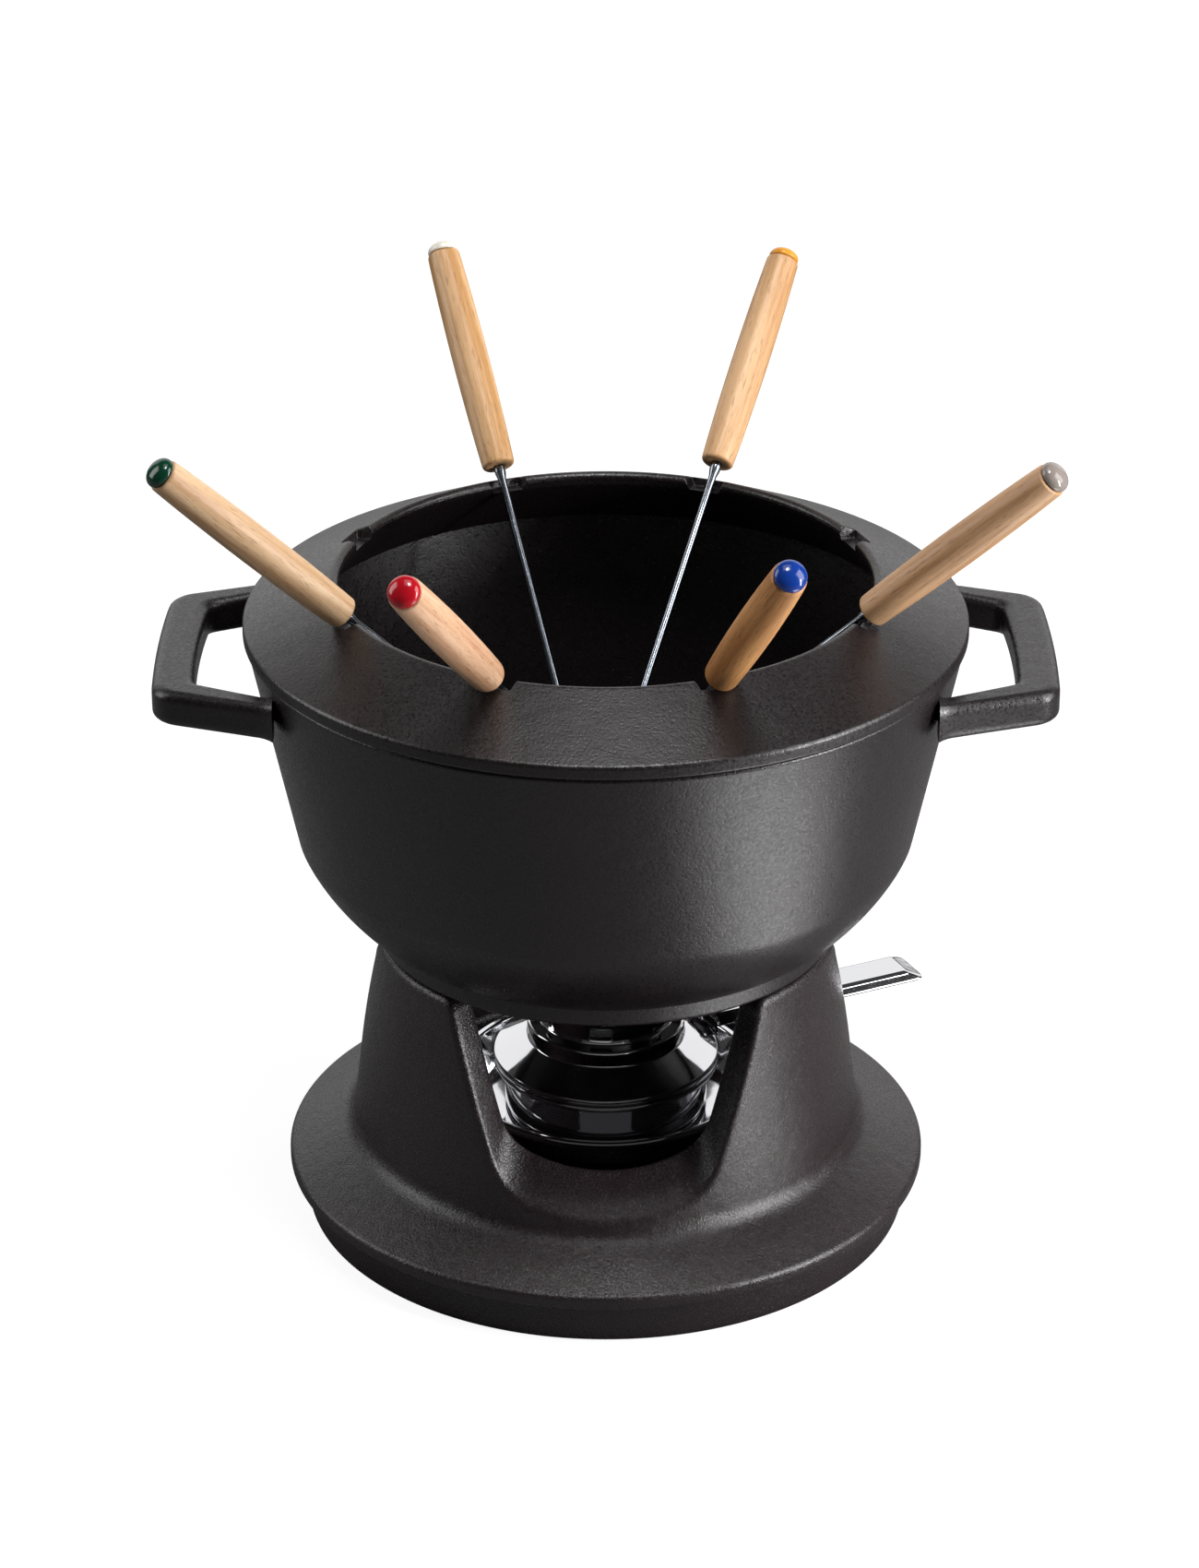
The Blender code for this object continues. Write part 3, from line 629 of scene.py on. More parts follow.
class ForkColour(Enum):
    """Cap and wood of each fork: cap colour, cap shade, pale wood, deep wood."""

    GREEN = ("#073a28", "#052f20", "#d6b48e", "#b48a61")
    WHITE = ("#e3ddd2", "#d8d1c4", "#d2ab80", "#b0824f")
    ORANGE = ("#dc9a34", "#d08a28", "#d3aa7e", "#b07f4e")
    GREY = ("#8b827c", "#7e756f", "#c9a17a", "#a47a52")
    RED = ("#b3101f", "#a00c1a", "#d9b291", "#b98a69")
    BLUE = ("#12388c", "#0e2f7d", "#c9935c", "#a06a38")

    def cap(self) -> MouldedPlastic:
        """Finish of this fork's cap."""
        return MouldedPlastic(f"{self.name.lower()}_moulded_plastic", self.value[0], self.value[1])

    def wood(self) -> OiledWood:
        """Finish of this fork's handle."""
        return OiledWood(f"oiled_hardwood_{self.name.lower()}_fork", self.value[2], self.value[3])


# ================================================================ stand
@dataclass
class Stand:
    """The cast stand: foot ring, sloping base, floor, and a cone cut by three windows."""

    height: float = 0.0922
    foot_r: float = 0.0921
    foot_height: float = 0.0135
    foot_wall: float = 0.0065
    flange_r: float = 0.0975
    flange_top: float = 0.0178
    cone_foot: tuple[float, float] = (0.0776, 0.02717)
    cone_fillet: float = 0.0070
    cone_top_r: float = 0.0698
    inner_foot: tuple[float, float] = (0.0644, 0.0285)
    inner_top_r: float = 0.0603
    outer_mean_r: float = 0.0745  # radii on which the window's outline is drawn
    inner_mean_r: float = 0.0625
    floor_thickness: float = 0.005
    base_shell: float = 0.0065
    outer_start_z: float = 0.0235  # where the windowed wall begins, outside and inside
    inner_start_z: float = 0.0330
    window_azimuths: tuple[float, float, float] = (-90.0, 30.0, 150.0)
    window_half_low: float = math.radians(21.0)
    window_half_high: float = math.radians(41.0)
    sill_outer: tuple[float, float] = (0.0754, 0.0300)  # distance from the axis, height
    sill_inner: tuple[float, float] = (0.0627, 0.0423)
    corner: float = 0.0085
    top_round: float = 0.0050
    edge_round: float = 0.0023
    columns: int = 30

    def outer_radius(self, height: Array) -> Array:
        """Radius of the outside at a height: base slope, fillet and cone, read off one outline."""
        flange, top = (self.flange_r, self.flange_top, 0), (self.cone_top_r, self.height, 0)
        line = rounded([flange, (*self.cone_foot, self.cone_fillet), top], 24)
        return np.interp(height, line[:, 1], line[:, 0])

    def inner_radius(self, height: Array) -> Array:
        """Radius of the inside at a height, a straight taper."""
        ends = (self.inner_foot[1], self.height)
        return np.interp(height, ends, (self.inner_foot[0], self.inner_top_r))

    def sill_height(self, along: Array) -> Array:
        """Height of a window's sloping sill at a distance from the axis."""
        (outer, low), (inner, high) = self.sill_outer, self.sill_inner
        return low + (high - low) * np.maximum(outer - along, 0) / (outer - inner)

    def window_edge(self, radius: float) -> Array:
        """Half of a window's outline on a cylinder of a radius, as (arc length, height) points.

        It runs from the middle of the sill round the corner, up the side, over the pillar's round
        top corner and along the pillar's top to its middle.

        Args:
            radius: Mean radius of the wall's surface.

        Returns:
            Points (n, 2), n the same for every radius.
        """
        rate = (self.window_half_high - self.window_half_low) / (self.height - self.sill_outer[1])

        def side(height: Array) -> Array:
            """Arc length from the window's middle to its side at a height."""
            return radius * (self.window_half_low + rate * (height - self.sill_outer[1]))

        guess = np.array(self.sill_height(radius * 0.9))
        for _ in range(6):
            guess = self.sill_height(radius * np.cos(side(guess) / radius))
        corner = np.array([float(side(guess)), float(guess)])
        size = self.corner * radius / self.sill_outer[0]
        arc = np.linspace(0, corner[0] - size, 16)
        sill = np.stack([arc, self.sill_height(radius * np.cos(arc / radius))], 1)
        side_low = corner[1] + size
        heights = np.linspace(side_low, self.height - self.top_round, 24)
        wall = np.stack([side(heights), heights], 1)
        bend = bezier(sill[-1:], corner[None], wall[:1], 14)[0, 1:-1]
        angle = np.linspace(0, math.pi / 2, 10)[1:]
        top = wall[-1] + self.top_round * np.stack([1 - np.cos(angle), np.sin(angle)], 1)
        last = radius * math.pi / 3
        flat = np.stack([np.linspace(top[-1, 0], last, 12)[1:], np.full(11, self.height)], 1)
        return np.concatenate([sill, bend, wall, top, flat])

    def pulled_in(self, edge: Array, amount: float) -> Array:
        """Moves a window's outline into the metal, at right angles to itself."""
        along = np.gradient(edge, axis=0)
        along /= np.linalg.norm(along, axis=1)[:, None]
        along[0] = along[-1] = (1.0, 0.0)
        return edge + amount * np.stack([along[:, 1], -along[:, 0]], 1)

    def on_wall(self, flat: Array, mean_radius: float, outside: bool) -> Array:
        """Wraps (arc length from the window's middle, height) points onto the wall.

        The azimuth is counted from the pillar's middle, 60 degrees from the window's middle.

        Args:
            flat: Points (..., 2).
            mean_radius: Radius that the arc lengths belong to.
            outside: Whether the wall's outside or its inside is meant.

        Returns:
            Points (..., 3) beside the azimuth 0.
        """
        azimuth = math.pi / 3 - flat[..., 0] / mean_radius
        radius = (self.outer_radius if outside else self.inner_radius)(flat[..., 1])
        return np.stack([radius * np.cos(azimuth), radius * np.sin(azimuth), flat[..., 1]], -1)

    def half_pillar(self) -> list[Array]:
        """Half a pillar with its share of the wall under the window: outside, inside and window edge.

        Rows run straight, on the unrolled wall, from the pillar's middle line to the window's edge.
        """
        grids, rims = [], []
        for outside, start in ((True, self.outer_start_z), (False, self.inner_start_z)):
            radius = self.outer_mean_r if outside else self.inner_mean_r
            sharp_edge = self.window_edge(radius)
            soft_edge = self.pulled_in(sharp_edge, self.edge_round)
            below = np.linspace(start, soft_edge[0, 1], 7)[:-1]
            edge = np.concatenate([np.stack([0 * below, below], 1), soft_edge])
            marks = (0, len(below), len(below) + 16, len(below) + 28, len(below) + 52, len(edge) - 1)
            top = soft_edge[-1, 1]
            levels = (start, below[-1], soft_edge[15, 1] + 0.002, soft_edge[28, 1] + 0.006, top - 0.009, top)
            middle_z = np.interp(np.arange(len(edge)), marks, levels)
            middle = np.stack([np.full(len(edge), radius * math.pi / 3), middle_z], 1)
            share = np.linspace(0, 1, self.columns + 1)[None, :, None]
            flat = (1 - share) * middle[:, None] + share * edge[:, None]
            grids.append(self.on_wall(flat, radius, outside))
            rims.append((self.on_wall(soft_edge, radius, outside), self.on_wall(sharp_edge, radius, outside)))
        (outer_soft, outer), (inner_soft, inner) = rims
        across = inner - outer
        across /= np.linalg.norm(across, axis=1)[:, None]
        first = bezier(outer_soft, outer, outer + across * self.edge_round, 7)
        last = bezier(inner - across * self.edge_round, inner, inner_soft, 7)
        share = np.linspace(0, 1, 5)[None, 1:-1, None]
        between = (1 - share) * first[:, -1:] + share * last[:, :1]
        grids.append(np.concatenate([first, between, last], 1))
        return grids

    def build(self) -> None:
        """Makes the stand as one casting."""
        skin = Skin()
        outer_r = float(self.outer_radius(np.array(self.outer_start_z)))
        inner_r = float(self.inner_radius(np.array(self.inner_start_z)))
        foot_in = self.foot_r - self.foot_wall
        rise = (self.cone_foot[1] - self.flange_top) / (self.flange_r - self.cone_foot[0])
        under_z = self.flange_top + (self.flange_r - foot_in) * rise - self.base_shell
        floor_under = self.inner_foot[1] - self.floor_thickness
        base = [
            (outer_r, self.outer_start_z, 0),
            (self.flange_r, self.flange_top, 0.0019),
            (self.flange_r, self.foot_height, 0.0013),
            (self.foot_r, self.foot_height, 0.0012),
            (self.foot_r, 0.0, 0.0014),
            (foot_in, 0.0, 0.0014),
            (foot_in, under_z, 0.0030),
            (self.inner_foot[0] - 0.004, floor_under, 0.0030),
            (0.0, floor_under, 0),
        ]
        floor = [(inner_r, self.inner_start_z, 0), (*self.inner_foot, 0.0030), (0.0, self.inner_foot[1], 0)]
        azimuths = circle(6 * self.columns, self.window_azimuths[0] + 60.0)
        for profile in (base, floor):
            skin.add(turned(supported(divided(rounded(profile), 0.006)), azimuths))
        for azimuth in self.window_azimuths:
            for grid in self.half_pillar():
                skin.add(turn_about_z(grid, azimuth + 60.0))
                skin.add(turn_about_z(grid * (1, -1, 1), azimuth + 60.0))
        settle(skin.piece("cast_stand"), "stand", "black_enamel", [Enamel.SAND.value], "stand_casting")


# ================================================================ pot
@dataclass
class Pot:
    """The cast pot with its two loop grips."""

    base_z: float = 0.0925
    height: float = 0.0966
    rim_r: float = 0.1054
    foot_r: float = 0.0696
    foot_height: float = 0.0058
    foot_wall: float = 0.0058
    foot_recess: float = 0.0030
    floor_thickness: float = 0.0050
    wall_floor: float = 0.0045
    wall_rim: float = 0.0066
    belly_rise: float = 0.0271
    belly_share: float = 0.47
    belly_power: float = 1.40
    grip_top_below_rim: float = 0.0051
    grip_thickness: float = 0.0109
    grip_half_thickness: float = 0.0055  # the edge's radius is a share of it
    grip_reach: float = 0.0268
    grip_bar: float = 0.0122
    grip_bow: float = 0.0012
    grip_half_root: float = 0.0470
    grip_half_end: float = 0.0355
    grip_leg: float = 0.0076
    grip_corner: float = 0.0085
    grip_edge: float = 0.0030
    grip_inner_corner: float = 0.0052
    root_depth: float = 0.0100  # how far the grips' ends go inside the rim's radius
    root_fillet: float = 0.0042

    def side(self, low: tuple[float, float], high: tuple[float, float], count: int) -> Array:
        """A side of the pot from low to high (radius, height).

        The radius grows by a share of a superellipse quarter, the belly, and by a straight flare.

        Args:
            low: Foot of the side.
            high: Top of the side.
            count: Number of steps, closer together on the belly.

        Returns:
            Points (count + 1, 2).
        """
        share = np.linspace(0, 1, count + 1) ** 2.0
        turn = np.minimum(share * (high[1] - low[1]) / self.belly_rise, 1.0)
        quarter = (1 - (1 - turn) ** self.belly_power) ** (1 / self.belly_power)
        opened = self.belly_share * quarter + (1 - self.belly_share) * share
        return np.stack([low[0] + (high[0] - low[0]) * opened, low[1] + (high[1] - low[1]) * share], 1)

    def outer_side(self) -> Array:
        """The outside from the foot's top to the rim."""
        return self.side((self.foot_r, self.base_z + self.foot_height), (self.rim_r, self.rim_z - 0.001), 90)

    @property
    def rim_z(self) -> float:
        """Height of the rim."""
        return self.base_z + self.height

    def bowl(self) -> bpy.types.Object:
        """The turned bowl: satin outside, glossy inside from the rim's inner edge down."""
        base, rim = self.base_z, self.rim_z
        foot_in = self.foot_r - self.foot_wall
        foot = rounded(
            [
                (0.0, base + self.foot_recess, 0),
                (foot_in, base + self.foot_recess, 0.0015),
                (foot_in, base, 0.0012),
                (self.foot_r, base, 0.0014),
                (self.foot_r, base + self.foot_height, 0),
            ]
        )
        floor_z = base + self.foot_recess + self.floor_thickness
        inner_r = self.rim_r - self.wall_rim
        inside = self.side((self.foot_r - self.wall_floor, floor_z), (inner_r, rim - 0.002), 90)[::-1]
        lip = rounded([(self.rim_r, rim - 0.001, 0), (self.rim_r, rim, 0.0009), (inner_r, rim, 0)])[:-1]
        outside = np.concatenate([foot[:-1], self.outer_side(), lip[1:], [(inner_r + 0.0008, rim)]])
        shoulder = rounded([(inner_r + 0.0008, rim, 0), (inner_r, rim, 0.0006), (inner_r, rim - 0.002, 0)])
        within = np.concatenate([shoulder, inside[1:], [(0.0, floor_z)]])
        skin = Skin()
        azimuths = circle(192)
        skin.add(turned(supported(divided(outside, 0.006)), azimuths))
        skin.add(turned(supported(divided(within, 0.006)), azimuths), slot=1)
        return skin.piece("cast_pot")

    def grip(self, side: int) -> bpy.types.Object:
        """One loop grip: a rounded bar between its outer and inner plan outlines.

        Near the pot's wall the bar swells by a quarter circle, like the fillet of a casting.

        Args:
            side: 1 for the right grip, -1 for the left.

        Returns:
            The grip.
        """
        root_x = self.rim_r - self.root_depth
        end_x = self.rim_r + self.grip_reach
        bar_x = end_x - self.grip_bar

        def loop(reach: float, half_root: float, half_end: float, corner: float) -> Array:
            """Half of a plan outline from the root to the bar's middle, evenly divided."""
            line = rounded(
                [
                    (root_x, -half_root, 0),
                    (reach - self.grip_bow, -half_end, corner),
                    (reach - self.grip_bow * 0.25, -half_end * 0.45, 0),
                    (reach, 0.0, 0),
                ],
                12,
            )
            legs, bar = line[:1], line[1:14]
            first = np.linspace(legs[0], bar[0], 22)[:-1]
            middle = np.linspace(bar[-1], line[-1], 14)[1:]
            middle[:, 0] = reach - self.grip_bow * (middle[:, 1] / half_end) ** 2
            return np.concatenate([first, bar, middle])

        outer = loop(end_x, self.grip_half_root, self.grip_half_end, self.grip_corner)
        inside = (self.grip_half_root - self.grip_leg, self.grip_half_end - self.grip_leg)
        inner = loop(bar_x, *inside, self.grip_inner_corner)
        outer = np.concatenate([outer, outer[-2::-1] * (1, -1)])
        inner = np.concatenate([inner, inner[-2::-1] * (1, -1)])
        middle, half = (outer + inner) / 2, (outer - inner) / 2
        width = np.linalg.norm(half, axis=1)
        wall = self.outer_side()
        centre_z = self.rim_z - self.grip_top_below_rim - self.grip_thickness / 2
        gap = np.hypot(middle[:, 0], middle[:, 1]) - np.interp(centre_z, wall[:, 1], wall[:, 0])
        near = np.clip(1 - gap / self.root_fillet, 0, 1)
        swell = self.root_fillet * 0.75 * (1 - np.sqrt(1 - near**2))
        edge = self.grip_edge / self.grip_half_thickness
        square = [(-1.0, -1.0, edge), (1.0, -1.0, edge), (1.0, 1.0, edge), (-1.0, 1.0, edge)]
        box = supported(rounded(square, 6), 0.06, closed=True)
        box = np.concatenate([box, box[:1]])
        scale = (width + swell) / width
        plan = middle[:, None] + half[:, None] * scale[:, None, None] * box[None, :, :1]
        high = centre_z + (self.grip_thickness / 2 + swell * 0.8)[:, None] * box[None, :, 1]
        grid = np.concatenate([plan, high[..., None]], 2)
        caps = [np.stack([row, np.broadcast_to(row[:-1].mean(0), row.shape)]) for row in (grid[0], grid[-1])]
        skin = Skin().add(grid * (side, side, 1))
        for cap in caps:
            skin.add(cap * (side, side, 1))
        return skin.piece("pot_grip_right" if side > 0 else "pot_grip_left")

    def build(self) -> None:
        """Makes the bowl and the grips."""
        finishes = [Enamel.MATTE.value, Enamel.GLOSS.value]
        settle(self.bowl(), "pot", "black_enamel", finishes, "pot_casting")
        for side in (1, -1):
            settle(self.grip(side), "pot", "black_enamel", finishes[:1], "pot_casting")


# ================================================================ splash ring
@dataclass
class SplashRing:
    """The cast ring on the pot's rim, with eight notches for forks in its lip."""

    seat_z: float = 0.1894
    edge: float = 0.0040
    outer_r: float = 0.1065
    mouth_r: float = 0.0780
    rise: float = 0.0126
    lip: float = 0.0045
    skirt_z: float = 0.1861
    skirt_r: float = 0.0973
    skirt_wall: float = 0.0055
    notch_count: int = 8
    notch_first: float = 22.5
    notch_half: float = 0.0048
    notch_reach: float = 0.0046
    notch_depth: float = 0.0042
    side_slope: float = 3.0  # rise over run of a notch's sides
    back_slope: float = 7.0
    softness: float = 0.0009

    def profile(self) -> Array:
        """Closed section of the ring without notches, densely divided near the lip."""
        edge_top = self.seat_z + self.edge
        lip_top = edge_top + self.rise
        corners = [
            (self.skirt_r, self.seat_z, 0.0004),
            (self.outer_r, self.seat_z, 0.0009),
            (self.outer_r, edge_top, 0.0015),
            (self.mouth_r + 0.0004, lip_top + 0.0004, 0.0019),
            (self.mouth_r, lip_top - self.lip * 0.55, 0.0030),
            (self.mouth_r + 0.0012, lip_top - self.lip, 0.0010),
            (self.skirt_r - self.skirt_wall, self.skirt_z, 0.0012),
            (self.skirt_r, self.skirt_z, 0.0008),
        ]
        line = rounded(corners)
        line = np.concatenate([line, line[:1]])
        line = divided(supported(line), 0.004)
        near_lip = (line[:, 0] < self.mouth_r + 0.011) & (line[:, 1] > lip_top - self.lip - 0.003)
        first, last = np.flatnonzero(near_lip)[[0, -1]]
        return np.concatenate([line[:first], divided(line[first : last + 1], 0.0003), line[last + 1 :]])

    def azimuths(self) -> Array:
        """Angles round the ring, closer together at the sides of each notch."""
        pitch = math.tau / self.notch_count
        sides = np.arange(0.0038, 0.0088, 0.00022)
        across = np.concatenate([-sides[::-1], np.linspace(-0.0034, 0.0034, 7), sides]) / self.mouth_r
        rest = np.linspace(across[-1], pitch + across[0], 16)[1:-1]
        one = np.concatenate([across, rest])
        starts = math.radians(self.notch_first) + pitch * np.arange(self.notch_count)
        return (starts[:, None] + one[None]).ravel()

    def cut(self, grid: Array, azimuths: Array) -> Array:
        """Presses the notches into the lip.

        A notch is the height field floor + the larger of 0, side slope times the distance past a
        side, and back slope times the distance past the back; each point drops to the smooth
        minimum of its own height and that field.

        Args:
            grid: The plain ring (rows, columns, 3).
            azimuths: Angle of each column.

        Returns:
            The notched ring.
        """
        pitch = math.tau / self.notch_count
        turn = np.append(azimuths, azimuths[0]) - math.radians(self.notch_first)
        turn = (turn + pitch / 2) % pitch - pitch / 2
        radius = np.hypot(grid[..., 0], grid[..., 1])
        sideways = radius * np.abs(np.sin(turn))[None]
        outwards = radius * np.cos(turn)[None]
        floor = self.seat_z + self.edge + self.rise - self.notch_depth
        past_side = self.side_slope * (sideways - self.notch_half)
        past_back = self.back_slope * (outwards - self.mouth_r - self.notch_reach)
        steep = np.maximum(past_side, past_back)
        blend = np.clip(0.5 + steep / (2 * self.softness), 0, 1)
        field_z = floor + steep * blend + self.softness * blend * (1 - blend)
        height = grid[..., 2]
        low = np.clip(0.5 + (field_z - height) / (2 * self.softness), 0, 1)
        cut_z = height * low + field_z * (1 - low) - self.softness * low * (1 - low)
        deep = np.clip((height - floor + 0.0004) / 0.0008, 0, 1)
        drop = (height - np.minimum(cut_z, height)) * smooth_step(deep)
        result = grid.copy()
        result[..., 2] -= drop
        pressed = drop / self.notch_depth
        inner = np.clip((self.mouth_r + 0.0012 - radius) / 0.0012, 0, 1)
        grow = 1 + np.clip(pressed, 0, 1) * inner * 0.0010 / radius
        result[..., :2] *= grow[..., None]
        return result

    def build(self) -> None:
        """Makes the ring as one casting."""
        azimuths = self.azimuths()
        grid = self.cut(turned(self.profile(), azimuths), azimuths)
        made = Skin().add(grid).piece("cast_splash_ring", sharp=75.0)
        settle(made, "ring", "black_enamel", [Enamel.MATTE.value], "splash_ring")


# ================================================================ burner
@dataclass
class Burner:
    """Chromed spirit burner: tray, fuel cup, wick, gauze, fixed sleeve and turning regulator."""

    sheet: float = 0.0010
    cover_edge: float = 0.00022
    bar_edge: float = 0.00025
    tray_z: tuple[float, float] = (0.0288, 0.0404)
    tray_foot_r: float = 0.0395
    tray_rim_r: float = 0.0467
    tray_bead: float = 0.0011
    cup_z: tuple[float, float] = (0.0301, 0.0456)
    cup_r: float = 0.0310
    lip_r: float = 0.0344
    lip_height: float = 0.0019
    lip_z: float = 0.0459
    shoulder_z: float = 0.0478
    step_z: float = 0.0538
    neck_z: float = 0.0588
    top_z: float = 0.0663
    shoulder_r: float = 0.0241
    neck_r: float = 0.0203
    vent_count: int = 6
    vent_half: float = 0.0035
    vent_height: float = 0.0036
    pad_z: tuple[float, float] = (0.0314, 0.0384)
    gauze_z: tuple[float, float] = (0.0387, 0.0395)
    pad_r: float = 0.0284
    wire_pitch: float = 0.0012
    bar_azimuth: float = 25.5
    bar_end_r: float = 0.1070
    bar_width: float = 0.0147
    bar_flat: float = 0.0096
    bar_drop: float = 0.0022
    bar_end_fall: float = 0.0056  # length over which the end turns down
    bar_corner: float = 0.0024
    bar_top_z: float = 0.0524
    tab_width: float = 0.0110

    def lathed(self, name: str, body: str, corners: list[tuple[float, float, float]], node: str) -> None:
        """Turns a closed or axis-to-axis section and settles it as chromed sheet."""
        line = rounded(corners, 6)
        closed = corners[0][0] > 0
        if closed:
            line = np.concatenate([line, line[:1]])
        made = Skin().add(turned(divided(supported(line, 0.00025), 0.004), circle(160))).piece(name)
        settle(made, body, "polished_chrome", [CHROME], node)

    def tray(self) -> None:
        """Shallow dish with a rolled bead at its rim."""
        low, rim = self.tray_z
        bead, rim_r, t = self.tray_bead, self.tray_rim_r, self.sheet
        self.lathed(
            "drip_tray",
            "burner",
            [
                (0.0, low, 0),
                (self.tray_foot_r, low, 0.0022),
                (rim_r - 1.7 * bead, rim - 2.3 * bead, 0.0006),
                (rim_r, rim - 2.1 * bead, 0.0008),
                (rim_r, rim, 0.0010),
                (rim_r - 2.2 * bead, rim, 0.0009),
                (self.tray_foot_r - t, low + t, 0.0018),
                (0.0, low + t, 0),
            ],
            "burner_tray",
        )

    def cup(self) -> None:
        """Fuel cup with its rim rolled out flat."""
        low, rim = self.cup_z
        r, t = self.cup_r, self.sheet
        self.lathed(
            "fuel_cup_body",
            "burner",
            [
                (0.0, low, 0),
                (r, low, 0.0018),
                (r, rim - self.lip_height, 0.0006),
                (self.lip_r, rim - self.lip_height, 0.0008),
                (self.lip_r, rim, 0.0009),
                (r - t, rim, 0.0005),
                (r - t, low + t, 0.0012),
                (0.0, low + t, 0),
            ],
            "fuel_cup",
        )

    def wick(self) -> None:
        """Crowned wadding pad, and wires woven over and under each other on it.

        The gauze's height is the wire radius times sin(pi x / pitch) times cos(pi y / pitch).
        """
        low, high = self.pad_z
        share = np.linspace(0, 1, 30)
        crown = np.stack([self.pad_r * share, high - 0.0008 * share**3], 1)[:-1]
        shoulder = (self.pad_r, high - 0.0009, 0.0012)
        edge = rounded([(0.0, low, 0), (self.pad_r, low, 0.0012), shoulder, (0, high, 0)])
        profile = np.concatenate([edge[:-1], crown[::-1]])
        pad = Skin().add(turned(profile, circle(96))).piece("wick_pad_wadding")
        settle(pad, "burner", "mineral_wadding", [WADDING], "wick_pad")
        radius = self.pad_r * np.linspace(0, 1, 110)[:, None]
        around = np.append(circle(300), 0.0)[None]
        x, y = radius * np.cos(around), radius * np.sin(around)
        weave = np.sin(math.pi * x / self.wire_pitch) * np.cos(math.pi * y / self.wire_pitch)
        low, high = self.gauze_z
        upper = np.stack([x, y, high - 0.00015 + 0.00015 * weave], 2)
        lower = np.stack([x, y, low + 0.00015 + 0.00015 * weave], 2)
        rim = np.stack([upper[-1], lower[-1]])
        gauze = Skin().add(upper).add(lower).add(rim).piece("wire_gauze")
        settle(gauze, "burner", "steel_gauze", [GAUZE_WIRE], "gauze_disc")

    def slotted(self, name: str, body: str, profile: Array, vents: tuple[float, float], node: str) -> None:
        """Turns a sheet's outer line, leaves the vent slots out and gives the sheet its thickness.

        Args:
            name: Name of the piece.
            body: CAD body that carries it.
            profile: Line (n, 2) from the foot to the top, on the outside of the sheet.
            vents: Lowest and highest height of the slots.
            node: CAD node that it replaces.
        """
        low, high = vents
        levels = np.unique(np.concatenate([np.linspace(low, high, 6), profile[:, 1]]))
        keep = (levels >= profile[-1, 1] - self.top_z + self.neck_z) & (levels <= profile[-1, 1])
        straight = profile[profile[:, 0] > profile[-1, 0] + 1e-5]
        neck = np.stack([np.full(keep.sum(), profile[-1, 0]), levels[keep]], 1)
        line = np.concatenate([straight, neck[neck[:, 1] > straight[-1, 1] + 1e-5]])
        half = self.vent_half / profile[-1, 0]
        pitch = math.tau / self.vent_count
        one = np.concatenate([np.linspace(-half, half, 11), np.linspace(half, pitch - half, 17)[1:-1]])
        starts = math.radians(self.bar_azimuth) + pitch * np.arange(self.vent_count)
        azimuths = (starts[:, None] + one[None]).ravel()
        grid = turned(line, azimuths)
        rows = (line[:-1, 1] > low - 1e-6) & (line[1:, 1] < high + 1e-6)
        rows &= line[:-1, 0] < profile[-1, 0] + 1e-5
        columns = np.arange(len(azimuths)) % len(one) < 10
        made = Skin().add(grid, keep=~(rows[:, None] & columns[None])).piece(name, closed=False, sharp=40.0)
        thickened(made, self.sheet, self.cover_edge, even=True)
        settle(made, body, "polished_chrome", [CHROME], node)

    def regulator(self) -> None:
        """Outer cover: lip, sloping shoulder, step and slotted neck."""
        corners = [
            (self.lip_r - 0.0006, self.lip_z, 0),
            (self.lip_r, self.lip_z + 0.0001, 0.0005),
            (self.lip_r, self.shoulder_z, 0.0008),
            (self.shoulder_r, self.step_z, 0.0007),
            (self.shoulder_r, self.neck_z, 0.0008),
            (self.neck_r, self.neck_z + 0.0006, 0.0006),
            (self.neck_r, self.top_z, 0),
        ]
        profile = divided(supported(rounded(corners, 6), 0.00025), 0.003)
        middle = self.top_z - (self.top_z - self.neck_z) * 0.48
        rows = (middle - self.vent_height / 2, middle + self.vent_height / 2)
        self.slotted("regulator_cover_sheet", "regulator", profile, rows, "regulator_cover")

    def handle(self) -> None:
        """Flat strip with drooping edges, a turned-down end and a tab at the cover's lip.

        Across the strip the height is flat, then falls in a soft bend to each edge; at the end it
        falls by the same drop, and the corners there are round in plan.
        """
        half, flat, top = self.bar_width / 2, self.bar_flat / 2, self.bar_top_z
        start = self.lip_r + 0.0008
        y = np.concatenate([np.linspace(-half, -flat + 0.001, 12), np.linspace(flat - 0.001, half, 12)])
        ends = np.array([start, 0.055, 0.075, 0.090, self.bar_end_r - 0.0062])
        x = np.concatenate([ends, np.linspace(self.bar_end_r - 0.0058, self.bar_end_r, 16)])
        past = np.clip((np.abs(y) - flat) / (half - flat), 0, 1)
        fall = self.bar_drop * past * smooth_step(np.clip(past * 4, 0, 1))
        share = np.clip((x - self.bar_end_r + self.bar_end_fall) / self.bar_end_fall, 0, 1)
        end_fall = self.bar_drop * 1.1 * share * smooth_step(np.clip(share * 6, 0, 1))
        corner = self.bar_corner
        tuck = np.clip((x - self.bar_end_r + corner) / corner, 0, 1)
        narrow = 1 - (corner / half) * (1 - np.sqrt(1 - tuck**2))
        grid_x = np.broadcast_to(x[:, None], (len(x), len(y)))
        grid_y = narrow[:, None] * y[None]
        grid_z = top - np.maximum(fall[None], end_fall[:, None]) + 0 * grid_y
        strip = np.stack([grid_x, grid_y, grid_z], 2)
        tab_y = np.linspace(-self.tab_width / 2, self.tab_width / 2, 5)
        tab_z = np.linspace(self.lip_z, top - 0.0012, 5)
        tab = np.stack(np.broadcast_arrays(start + 0.0005, tab_y[None], tab_z[:, None]), 2)
        skin = Skin()
        for grid in (strip, tab):
            skin.add(turn_about_z(grid, self.bar_azimuth))
